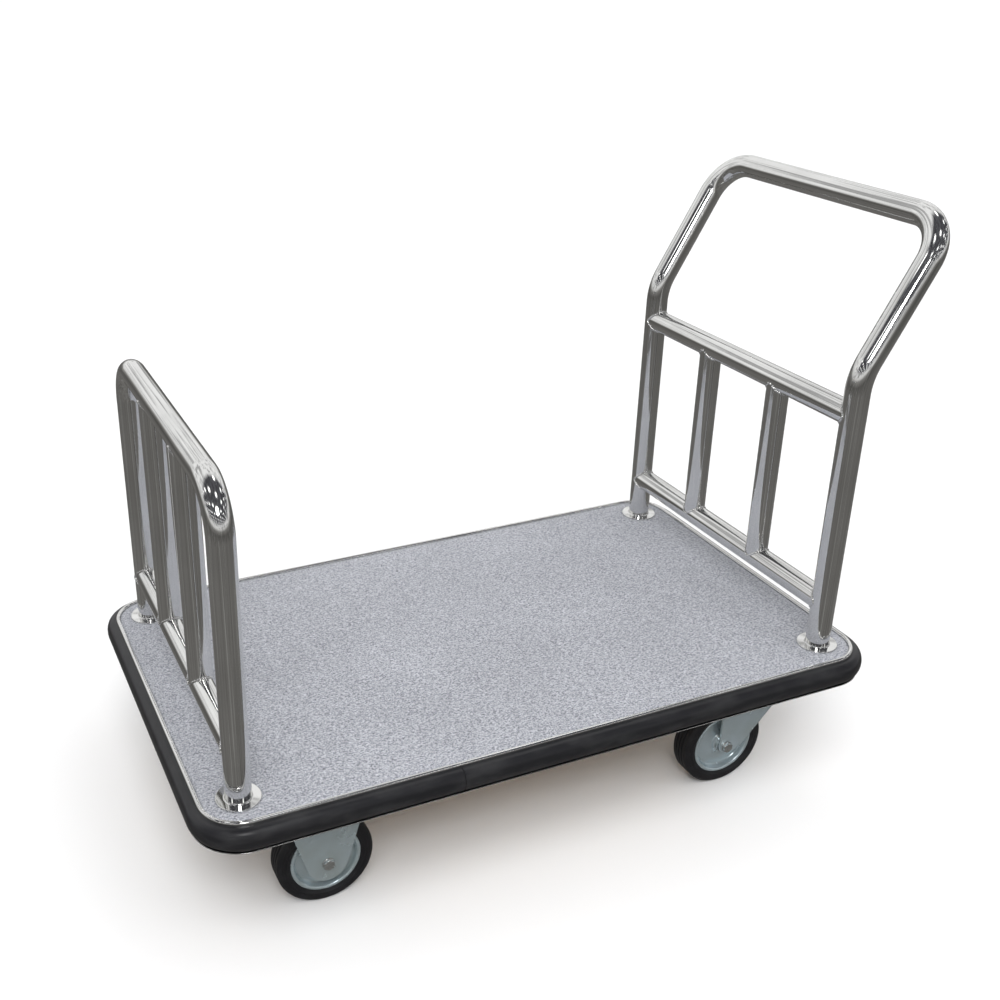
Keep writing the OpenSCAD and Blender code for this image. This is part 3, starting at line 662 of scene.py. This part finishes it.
def on_wheel(centre):
    """Lays what is turned about Z on the wheel's axle, along Y."""
    return Matrix.Translation(centre) @ Matrix.Rotation(math.radians(90), 4, "X")


TREAD_PITCH = 7 * MM
GROOVE_DEPTH = 1.7 * MM
GROOVE_HALF = 0.7 * MM
TREAD_STEPS = 44
TREAD_CROWN = 0.25 * MM
SHOULDER_R = 6.5 * MM
TYRE_BEAD_R = 1.2 * MM
BEAD_TUCK = 2.4 * MM
MOULD_LINES = (61, 65)  # radii in mm
RIM_T = 1.8 * MM
RIM_JOINT = 0.1 * MM
HUB_GAP = 0.1 * MM


def tyre_half(seat_r, radius, half):
    """Grooved tread, round shoulder, side with two moulded lines, and the bead beside the rim."""
    profile = [(seat_r, 0.0)]
    profile += arc(seat_r + TYRE_BEAD_R, half - BEAD_TUCK, TYRE_BEAD_R, 180, 90, 5)
    side = half - 0.4 * MM
    profile.append((seat_r + 2.0 * MM, side - 0.3 * MM))
    for line in MOULD_LINES:
        profile += [((line + step) * MM, side + lift * MM)
                    for step, lift in ((-1.0, 0), (-0.7, 0.4), (0.7, 0.4), (1.0, 0))]
    profile += arc(radius - SHOULDER_R, side - SHOULDER_R, SHOULDER_R, 88, 2, 9)
    flat = side - SHOULDER_R
    for i in range(TREAD_STEPS):
        offset = flat * (1 - (i + 0.5) / TREAD_STEPS)
        groove = min(abs(offset - k * TREAD_PITCH) for k in (0, 1))
        depth = GROOVE_DEPTH * (1 - smooth(groove / GROOVE_HALF - 1))
        profile.append((radius - depth - TREAD_CROWN * (offset / half) ** 2, offset))
    return profile


def rim_outer(seat_r, crest, hub_r):
    """Outside of a pressed rim: rolled edge, sunk wall, crowned disc, collar; in mm from seat and crest."""
    points = [(0.0, -3.4), (-0.4, -1.2), (-2.3, 0.0), (-4.6, -0.5), (-6.2, -2.4), (-7.6, -6.8),
              (-9.4, -9.6), (-11.5, -10.0), (-14.0, -9.5), (-22.0, -8.0), (-30.0, -7.1), (-35.0, -6.9),
              (-36.6, -5.6), (-37.4, -3.4), (-38.4, -2.6)]
    return [(seat_r + r * MM, crest + o * MM) for r, o in points] + [(hub_r, crest - 2.6 * MM)]


def rim_section(seat_r, crest, hub_r):
    """One pressed half of a rim as a closed section of even thickness."""
    outer = [(seat_r, RIM_JOINT)] + spline(rim_outer(seat_r, crest, hub_r), 4)
    inner = []
    for before, here, after in zip(outer, outer[1:], outer[2:]):
        along = Vector((after[0] - before[0], after[1] - before[1])).normalized()
        inner.append((here[0] - along.y * RIM_T, here[1] + along.x * RIM_T))
    return (outer + [(hub_r, outer[-1][1] - RIM_T)] + inner[::-1]
            + [(seat_r - RIM_T, RIM_JOINT)])


def make_wheel(kind, side):
    """A grooved tyre on a rim of two pressed halves."""
    body = f"{kind}_wheel_{side}"
    tyre, rim, hub = (f"{kind}_{part}_{side}" for part in ("tyre", "rim", "hub"))
    tyre_half_size, rim_half_size = half_size(tyre), half_size(rim)
    place = on_wheel(middle(tyre))
    section = both_halves(tyre_half(rim_half_size.z, tyre_half_size.z, tyre_half_size.y))
    make_piece(f"{kind}_rubber_tyre_{side}", *moved(revolve(section, 144), place), body, "tyre_rubber",
               [tyre], sharp=50)
    half_rim = rim_section(rim_half_size.z, rim_half_size.y, half_size(hub).z + HUB_GAP)
    rims = join(revolve(half_rim, 120), revolve([(r, -o) for r, o in half_rim], 120))
    make_piece(f"{kind}_pressed_rim_{side}", *moved(rims, place), body, "zinc_steel", [rim], sharp=50)


def touch_point(x, z, r):
    """Where the line from (x, z) touches the circle of radius r round the origin, on the same side."""
    turn = math.atan2(z, x) + (-1 if x > 0 else 1) * math.acos(r / math.hypot(x, z))
    return r * math.cos(turn), r * math.sin(turn)


def angle_of(point):
    """Direction of a point from the origin, in degrees."""
    return math.degrees(math.atan2(point[1], point[0]))


FORK_T = 3.5 * MM
LEG_Y = 23 * MM
LEG_TOP_W = 106 * MM
LEG_END_R = 32 * MM
LEG_ROUND = 0.9 * MM
TAPER_Z = 66 * MM
TRAIL = 40 * MM
RIB_HALF = 8.5 * MM
RIB_FLAT = 4.5 * MM
RIB_OUT = 1.6 * MM
RIB_X = {"rigid": (-28 * MM, 28 * MM), "swivel": (TRAIL,)}
RIB_LOW = {"rigid": TAPER_Z - 13.5 * MM, "swivel": TAPER_Z - 5.5 * MM}
PLATE_CORNER_R = 7 * MM
BOLT_HALF_L = 45 * MM
BOLT_HALF_W = 37.5 * MM
BOLT_HOLE_R = 4.25 * MM
RACE_R = 41 * MM
RACE_H = 6 * MM
KINGPIN_HOLE_R = 6.1 * MM
AXLE_R = 5 * MM
AXLE_HEX = 16 * MM
AXLE_HEAD_H = 6.4 * MM
AXLE_WASHER_R = 9 * MM
AXLE_WASHER_T = 1.6 * MM
AXLE_HOLE_R = AXLE_R + 0.1 * MM


def rigid_outline(top):
    """A rigid fork's leg round the axle: straight top, tapering sides, round end."""
    w = LEG_TOP_W / 2
    left, right = touch_point(-w, TAPER_Z, LEG_END_R), touch_point(w, TAPER_Z, LEG_END_R)
    end = arc(0, 0, LEG_END_R, angle_of(left) - (360 if angle_of(left) > 0 else 0), angle_of(right), 40)
    return [(-w, top), (-w, TAPER_Z)] + end + [(w, TAPER_Z), (w, top)]


def swivel_outline(top):
    """A swivel fork's leg round the axle: upright front, rear edge slanting up under the kingpin."""
    front, rear = TRAIL - LEG_TOP_W / 2, TRAIL + LEG_TOP_W / 2
    end_r = -front
    back = touch_point(rear, TAPER_Z, 2 * end_r)
    heel = arc(0, 0, 2 * end_r, 0, angle_of(back), 10)
    toe = arc(0, 0, end_r, 180, 270, 14)
    sole = arc(end_r, 0, end_r, -90, 0, 10)
    return [(front, top)] + toe + sole[1:] + heel[1:] + [(rear, TAPER_Z), (rear, top)]


def dense(loop, step):
    """The closed loop with a point at least every step."""
    full = []
    for a, b in zip(loop, loop[1:] + loop[:1]):
        pieces = max(1, math.ceil(math.dist(a, b) / step))
        full += [(a[0] + (b[0] - a[0]) * i / pieces, a[1] + (b[1] - a[1]) * i / pieces)
                 for i in range(pieces)]
    return [p for p, q in zip(full, full[1:] + full[:1]) if math.dist(p, q) > MERGE]


def edge_distance(x, y, loop):
    """Distance from (x, y) to the nearest side of the closed loop."""
    best = 1.0
    for (ax, ay), (bx, by) in zip(loop, loop[1:] + loop[:1]):
        dx, dy = bx - ax, by - ay
        t = min(max(((x - ax) * dx + (y - ay) * dy) / (dx * dx + dy * dy), 0), 1)
        best = min(best, math.hypot(x - ax - dx * t, y - ay - dy * t))
    return best


def rolled_over(x, y, loop, radius, width=None):
    """How far a face sinks at (x, y), near an edge that is rounded over."""
    near = min(edge_distance(x, y, loop) / (width or radius), 1)
    return radius * (1 - math.sqrt(1 - (1 - near) ** 2))


def leg_plate(outline, ribs, rib_low, step=2.4 * MM):
    """A pressed leg in its own plane, its ribs raised smoothly and its edges rolled over."""
    loop = dense(outline, step)

    def rib(x, z):
        """How far the ribs stand out."""
        reach = min(math.hypot(x - at, min(z - rib_low, 0)) for at in ribs)
        return RIB_OUT * (1 - smooth((reach - RIB_FLAT) / (RIB_HALF - RIB_FLAT)))

    def outside(x, z):
        """How far the outer face stands out."""
        return FORK_T + rib(x, z) - rolled_over(x, z, loop, LEG_ROUND, 1.0 * MM)

    xs, zs = [p[0] for p in loop], [p[1] for p in loop]
    inner = []
    across = int((max(xs) - min(xs)) / step)
    up = int((max(zs) - min(zs)) / step)
    for i in range(across + 1):
        for j in range(up + 1):
            x, z = min(xs) + i * step, min(zs) + (j + 0.5 * (i % 2)) * step
            clear = edge_distance(x, z, loop)
            clear_of_hole = math.hypot(x, z) - AXLE_HOLE_R
            if point_in(x, z, loop) and clear > 1.6 * MM and clear_of_hole > 1.2 * MM:
                inner.append((x, z))
    for here, after in zip(loop, loop[1:] + loop[:1]):
        along = Vector((after[0] - here[0], after[1] - here[1])).normalized()
        for depth in (0.3 * MM, 0.9 * MM):
            for normal in (Vector((-along.y, along.x)), Vector((along.y, -along.x))):
                x, z = here[0] + normal.x * depth, here[1] + normal.y * depth
                if point_in(x, z, loop) and edge_distance(x, z, loop) > 0.8 * depth:
                    inner.append((x, z))
    hole = ring(0, 0, AXLE_HOLE_R, 24)
    return sheet_mesh([loop, hole], inner, outside, lambda x, z: 0.8 * rib(x, z))


def stand_leg(plate, centre, sign):
    """Stands a leg plate beside the wheel; its outer face looks to the sign's side along Y."""
    return [Vector((centre.x + x, centre.y + sign * (LEG_Y + out), centre.z + z))
            for x, z, out in plate[0]], plate[1]


def plate_block(low, high, radius, edge, holes=()):
    """A flat plate with round corners and softened edges; holes are (x, y, radius)."""
    mid, half = (low + high) / 2, (high - low) / 2
    outline = []
    for sx, sy, start in CORNERS:
        outline += arc(mid.x + sx * (half.x - radius), mid.y + sy * (half.y - radius), radius,
                       start, start + 90, 8)
    loops = [outline] + [ring(x, y, r, 32) for x, y, r in holes]
    inner = []
    for depth in (0.15 * edge, 0.5 * edge, edge):
        share = Vector((1 - depth / half.x, 1 - depth / half.y))
        inner += [(mid.x + (x - mid.x) * share.x, mid.y + (y - mid.y) * share.y)
                  for x, y in dense(outline, 6 * MM)]
    return sheet_mesh(loops, inner, lambda x, y: high.z - rolled_over(x, y, outline, edge),
                      lambda x, y: low.z + rolled_over(x, y, outline, edge))


def weld_line(a, b, radius, ripples=26):
    """A straight fillet bead from a to b."""
    path = [a.lerp(b, i / (ripples * 2)) for i in range(ripples * 2 + 1)]
    return sweep(path, radius, 12, radius_at=lambda i: radius * (1 + 0.10 * math.cos(math.pi * i)))


CHAMFER_DEPTH, CHAMFER_FACE_R = 0.11, 0.475  # shares of the hexagon's width
CHAMFER_SLOPE, CHAMFER_STEPS = 1.7, 5


def hex_solid(low, high, chamfer_low=False, sides=72):
    """A hexagon along Z whose corners are turned off in a cone at the top, and at the bottom if asked."""
    drops = [CHAMFER_DEPTH * AXLE_HEX * i / CHAMFER_STEPS for i in range(CHAMFER_STEPS + 1)]
    heights = [low + drop for drop in drops[:-1]] if chamfer_low else [low]
    heights += [high - drop for drop in reversed(drops)]
    rings = []
    for z in heights:
        near_end = min(high - z, z - low) if chamfer_low else high - z
        cone_r = CHAMFER_FACE_R * AXLE_HEX + near_end * CHAMFER_SLOPE
        corner_at = [(t, (t + math.pi / 6) % (math.pi / 3) - math.pi / 6) for t in turn_steps(sides)]
        radii = [(t, min(AXLE_HEX / 2 / math.cos(off), cone_r)) for t, off in corner_at]
        rings.append([Vector((r * math.cos(t), r * math.sin(t), z)) for t, r in radii])
    return loft(rings, caps=True)


THREAD_PITCH, THREAD_DEPTH, TIP_CHAMFER = 1.25 * MM, 0.30 * MM, 0.9 * MM


def thread(low, high, sides=40):
    """The axle bolt's threaded end as close rounded rings, with a chamfered tip."""
    profile = [(0.0, low), (AXLE_R - TIP_CHAMFER, low)]
    steps = 4 * int((high - low) / THREAD_PITCH)
    for i in range(steps):
        z = low + (high - low) * i / steps
        profile.append((AXLE_R - THREAD_DEPTH * (1 - math.cos(math.pi * i / 2)) / 2, z))
    return revolve(profile + [(0.0, high)], sides, closed=False)


def axle_pieces(kind, bolt_node, nut_node, body, sides):
    """Bolt with washer and head on the outer side; nut, washer and thread on the inner side."""
    bolts, nuts = [], []
    low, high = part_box(bolt_node)
    for side in sides:
        sign = -1 if side == "left" else 1
        centre = middle(f"{kind}_tyre_{side}")
        outer = max(sign * low.y, sign * high.y) - sign * centre.y
        head_z = outer - AXLE_HEAD_H
        nut_end = -head_z - AXLE_HEAD_H - AXLE_WASHER_T
        nut_top = nut_end + AXLE_HEAD_H
        washer_top = head_z + AXLE_WASHER_T
        place = Matrix.Translation(centre) @ Matrix.Rotation(math.radians(-90 * sign), 4, "X")
        washer = ([(AXLE_R, head_z), (AXLE_WASHER_R, head_z)]
                  + arc(AXLE_WASHER_R - 0.1 * MM, head_z + AXLE_WASHER_T / 2, AXLE_WASHER_T / 2, -60, 90, 6)
                  + [(AXLE_R, washer_top)])
        bolt = join(hex_solid(washer_top, outer),
                    revolve(washer, 64),
                    sweep([Z * (nut_end + 1 * MM), Z * (head_z + 1 * MM)], AXLE_R - 0.02 * MM, 40),
                    thread(nut_end - 2 * MM, nut_end + 1.5 * MM))
        bolts.append(moved(bolt, place))
        nut = join(hex_solid(nut_end, nut_top, chamfer_low=True),
                   revolve([(AXLE_R, nut_top), (AXLE_WASHER_R, nut_top),
                            (AXLE_WASHER_R, -head_z), (AXLE_R, -head_z)], 64))
        nuts.append(moved(nut, place))
    suffix = "s" if len(sides) > 1 else f"_{sides[0]}"
    make_piece(f"{kind}_axle_screw{suffix}", *join(*bolts), body, "fastener_steel", [bolt_node])
    make_piece(f"{kind}_axle_lock_nut{suffix}", *join(*nuts), body, "fastener_steel", [nut_node])


SHARP_ANGLE = math.radians(30)


def softened(node, body, slot, width=0.5 * MM):
    """A CAD node's own shape with its edges broken, as pressed and machined steel has them."""
    mesh = nodes[node].data.copy()
    work = bmesh.new()
    work.from_mesh(mesh)
    bmesh.ops.remove_doubles(work, verts=work.verts, dist=2 * MERGE)
    bmesh.ops.dissolve_limit(work, angle_limit=math.radians(0.5), verts=work.verts, edges=work.edges)
    work.to_mesh(mesh)
    work.free()
    piece = add_object(node + "_finished", mesh)
    mesh.materials.clear()
    mesh.materials.append(materials[slot])
    mesh.shade_smooth()
    mesh.set_sharp_from_angle(angle=SHARP_ANGLE)
    bevel = piece.modifiers.new("broken_edges", "BEVEL")
    bevel.width = width
    bevel.segments = 2
    bevel.limit_method = "ANGLE"
    bevel.angle_limit = SHARP_ANGLE
    bevel.harden_normals = True
    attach(piece, body)
    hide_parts(node)


def leg_sides(kind, under_top):
    """The leg plate of a kind of fork, up to a distance below the fork's top."""
    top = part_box(f"{kind}_fork_left")[1].z - under_top - middle(f"{kind}_tyre_left").z
    outline = rigid_outline if kind == "rigid" else swivel_outline
    return leg_plate(outline(top), RIB_X[kind], RIB_LOW[kind])


def make_rigid_fork(side, leg):
    """Bolt plate, two ribbed legs and the fillet welds between them."""
    node = f"rigid_fork_{side}"
    low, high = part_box(node)
    centre = middle(f"rigid_tyre_{side}")
    plate_z = high.z - FORK_T
    parts = [stand_leg(leg, centre, sign) for sign in (-1, 1)]
    holes = [(centre.x + sx * BOLT_HALF_L, centre.y + sy * BOLT_HALF_W, BOLT_HOLE_R)
             for sx in (-1, 1) for sy in (-1, 1)]
    parts.append(plate_block(Vector((low.x, low.y, plate_z)), high, PLATE_CORNER_R, 0.8 * MM, holes))
    for sign in (-1, 1):
        for out in (LEG_Y, LEG_Y + FORK_T + RIB_OUT):
            ends = [Vector((centre.x + sx * (LEG_TOP_W / 2 - 3 * MM), centre.y + sign * out, plate_z))
                    for sx in (-1, 1)]
            parts.append(weld_line(*ends, 2.0 * MM))
    make_piece(f"rigid_bracket_{side}", *join(*parts), "cart", "zinc_steel", [node], sharp=40)


RACE_ROUND, RACE_LIP_W, RACE_INNER_W, RACE_SINK = 1.2 * MM, 3.5 * MM, 7.0 * MM, 2.7 * MM


def make_swivel_fork(side, leg):
    """Crown with its ball race and two ribbed legs."""
    node = f"swivel_fork_{side}"
    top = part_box(node)[1].z
    centre = middle(f"swivel_tyre_{side}")
    king = Vector((centre.x + TRAIL, centre.y, 0))
    crown_top = top - RACE_H
    parts = [stand_leg(leg, centre, sign) for sign in (-1, 1)]
    reach = Vector((LEG_TOP_W / 2, LEG_Y + FORK_T, 0))
    parts.append(plate_block(king - reach + Z * (crown_top - FORK_T), king + reach + Z * crown_top,
                             3 * MM, 1.2 * MM, [(king.x, king.y, KINGPIN_HOLE_R)]))
    profile = [(KINGPIN_HOLE_R, crown_top), (RACE_R - 1 * MM, crown_top)]
    profile += arc(RACE_R - RACE_ROUND, top - RACE_ROUND, RACE_ROUND, 0, 90, 5)
    profile += [(RACE_R - RACE_LIP_W, top), (RACE_R - RACE_INNER_W, top - RACE_SINK),
                (KINGPIN_HOLE_R, top - RACE_SINK)]
    parts.append(moved(revolve(profile, 96), Matrix.Translation(king)))
    make_piece(f"swivel_bracket_{side}", *join(*parts), node, "zinc_steel", [node], sharp=40)


rigid_leg = leg_sides("rigid", FORK_T)
swivel_leg = leg_sides("swivel", RACE_H)
for caster_side in ("left", "right"):
    make_wheel("rigid", caster_side)
    make_wheel("swivel", caster_side)
    make_rigid_fork(caster_side, rigid_leg)
    make_swivel_fork(caster_side, swivel_leg)
    axle_pieces("swivel", f"swivel_axle_bolt_{caster_side}", f"swivel_axle_nut_{caster_side}",
                f"swivel_fork_{caster_side}", [caster_side])
axle_pieces("rigid", "rigid_axle_bolts", "rigid_axle_nuts", "cart", ["left", "right"])

for cad_name, slot in (("swivel_plates", "zinc_steel"), ("kingpin_nuts", "fastener_steel"),
                       ("caster_bolts", "fastener_steel"), ("caster_nuts", "fastener_steel"),
                       ("caster_pads", "frame_paint"), ("side_rails", "frame_paint"),
                       ("end_rails", "frame_paint"), ("middle_rails", "frame_paint"),
                       ("deck_nuts", "fastener_steel"), ("post_bolts", "fastener_steel")):
    softened(cad_name, "cart", slot)


# ---- stage ----

FLOOR_HALF = 40.0
LAMP_GRID = 1.35
LAMP_EDGE = (0.12, 0.17)
LAMP_TONE = 3.0
CEILING_TONE = (0.10, 0.10, 0.11, 1)
WHITE = (1, 1, 1, 1)
WALL_TONES = [(0.0, 0.19), (0.30, 0.17), (0.43, 0.12), (0.50, 0.24), (0.53, 0.70), (0.60, 1.0), (1.0, 1.0)]
BEAM_TONES = [(0.36, 0.45), (0.41, 1.0), (0.54, 1.0), (0.58, 0.42), (0.61, 0.5), (0.64, 1.0)]
STREAK_TONES = [(0.30, (0.56, 0.55, 0.52)), (0.45, (1.03, 1.0, 0.96)), (0.55, (0.72, 0.70, 0.66)),
                (0.61, (1.45, 1.43, 1.38)), (0.68, (0.8, 0.78, 0.75))]


def make_floor():
    """A wide pale floor that the polished metal doesn't mirror."""
    corners = [(x * FLOOR_HALF, y * FLOOR_HALF, 0) for x, y in ((-1, -1), (1, -1), (1, 1), (-1, 1))]
    mesh = bpy.data.meshes.new("floor")
    mesh.from_pydata(corners, [], [(0, 1, 2, 3)])
    floor = add_object("floor", mesh)
    mesh.materials.append(new_material("floor", Base_Color=(0.92, 0.92, 0.92, 1), Roughness=0.9)[0])
    floor.visible_glossy = False


def lamp_dots(tree, direction, height):
    """Small round lamps in rows on the dark ceiling."""
    level = add_node(tree, "Math", {0: height, 1: 0.05}, operation="MAXIMUM").outputs["Value"]
    whole = add_node(tree, "CombineXYZ", {"X": level, "Y": level, "Z": level}).outputs["Vector"]
    ceiling = add_node(tree, "VectorMath", {0: direction, 1: whole}, operation="DIVIDE")
    grid = add_node(tree, "Mapping", {"Vector": ceiling.outputs["Vector"], "Rotation": (0, 0, 0.4),
                                      "Scale": (LAMP_GRID, LAMP_GRID, 0)})
    cell = add_node(tree, "VectorMath", {0: grid.outputs["Vector"]}, operation="FRACTION")
    off = add_node(tree, "VectorMath", {0: cell.outputs["Vector"], 1: (0.5, 0.5, 0)}, operation="DISTANCE")
    dots = spread(tree, off.outputs["Value"], *LAMP_EDGE, LAMP_TONE, 0.0)
    return add_node(tree, "CombineXYZ", {"X": dots, "Y": dots, "Z": dots}).outputs["Vector"]


def world_noise(tree, direction, stretch, scale, detail):
    """Noise over the directions of the world."""
    place = add_node(tree, "Mapping", {"Vector": direction, "Scale": stretch}).outputs["Vector"]
    return add_node(tree, "TexNoise", {"Vector": place, "Scale": scale, "Detail": detail}).outputs["Fac"]


def room_world():
    """A hall seen in the polished steel, under a white backdrop: dark ceiling, lamps, walls, floor."""
    world = bpy.data.worlds.new("room")
    world.use_nodes = True
    bpy.context.scene.world = world
    tree = world.node_tree
    shader = tree.nodes["Background"]
    direction = add_node(tree, "TexCoord").outputs["Generated"]
    parts = add_node(tree, "SeparateXYZ", {"Vector": direction})
    height = parts.outputs["Z"]
    walls = ramp(tree, spread(tree, height, -1, 1, 0, 1), WALL_TONES)
    above = spread(tree, height, 0.14, 0.24, 0.0, 1.0)
    behind = spread(tree, parts.outputs["Y"], 0.34, 0.16, 0.0, 1.0)
    ceiling = add_node(tree, "Math", {0: above, 1: behind}, operation="MULTIPLY").outputs["Value"]
    room = mixed(tree, walls, CEILING_TONE, ceiling, "MIX")
    walls_only = spread(tree, height, 0.02, 0.08, 0.0, 1.0)
    beams = ramp(tree, world_noise(tree, direction, (4.2, 1.0, 7.0), 1.0, 2.0), BEAM_TONES)
    room = mixed(tree, room, beams, walls_only)
    low_only = spread(tree, height, -0.05, 0.12, 1.0, 0.0)
    streaks = ramp(tree, world_noise(tree, direction, (1, 1, 0.12), 6.5, 3.0), STREAK_TONES)
    room = mixed(tree, room, streaks, low_only)
    room = mixed(tree, room, lamp_dots(tree, direction, height), ceiling, "ADD")
    backdrop = add_node(tree, "LightPath").outputs["Is Camera Ray"]
    tree.links.new(mixed(tree, room, WHITE, backdrop, "MIX"), shader.inputs["Color"])
    shader.inputs["Strength"].default_value = 1.0


def add_lamp(name, kind, energy, toward):
    """A lamp that shines along a direction."""
    light = bpy.data.lights.new(name, kind)
    light.energy = energy
    lamp = add_object(name, light)
    lamp.rotation_euler = Vector(toward).to_track_quat("-Z", "Y").to_euler()
    return lamp, light


def sun_light(name, toward, strength, spread_angle):
    """A soft sun that the polished metal doesn't mirror."""
    lamp, light = add_lamp(name, "SUN", strength, toward)
    light.angle = math.radians(spread_angle)
    lamp.visible_glossy = False


def soft_box(name, place, aim, size, watts):
    """A small bright panel that draws the highlights on rubber and steel."""
    lamp, light = add_lamp(name, "AREA", watts, Vector(aim) - Vector(place))
    light.shape = "RECTANGLE"
    light.size, light.size_y = size
    lamp.location = place


make_floor()
room_world()
soft_box("front_panel", (-0.75, -1.75, 1.75), (0, 0, 0.4), (0.55, 0.40), 9)
sun_light("key_light", (0.35, 0.55, -1.0), 1.7, 40)
sun_light("fill_light", (-0.5, 0.3, -1.0), 0.9, 60)


# ---- camera ----

CAMERA_FROM_DECK = Vector((-0.8286, -1.5948, 1.0983))
CAMERA_AZIMUTH = math.radians(-22.795)
CAMERA_DOWN = math.radians(24.766)
CAMERA_ROLL = math.radians(-0.311)
CAMERA_LENS = 44.84
CAMERA_SHIFT = (0.1119, -0.0200)


def make_camera():
    """The photograph's camera, turned and rolled about the deck's middle."""
    data = bpy.data.cameras.new("camera")
    data.sensor_width = 36
    data.lens = CAMERA_LENS
    data.shift_x, data.shift_y = CAMERA_SHIFT
    data.clip_start, data.clip_end = 0.05, 200
    camera = add_object("camera", data)
    level = Vector((math.sin(CAMERA_AZIMUTH), -math.cos(CAMERA_AZIMUTH), 0))
    back = level * math.cos(CAMERA_DOWN) + Z * math.sin(CAMERA_DOWN)
    right = (-back).cross(Z).normalized()
    up = back.cross(right)
    rolled = right * math.cos(CAMERA_ROLL) + up * math.sin(CAMERA_ROLL)
    upright = back.cross(rolled)
    turn = Matrix((rolled, upright, back)).transposed().to_4x4()
    camera.matrix_world = Matrix.Translation(Vector((DECK_X, 0, DECK_Z)) + CAMERA_FROM_DECK) @ turn
    bpy.context.scene.camera = camera


make_camera()
bpy.context.scene.view_settings.view_transform = "Standard"
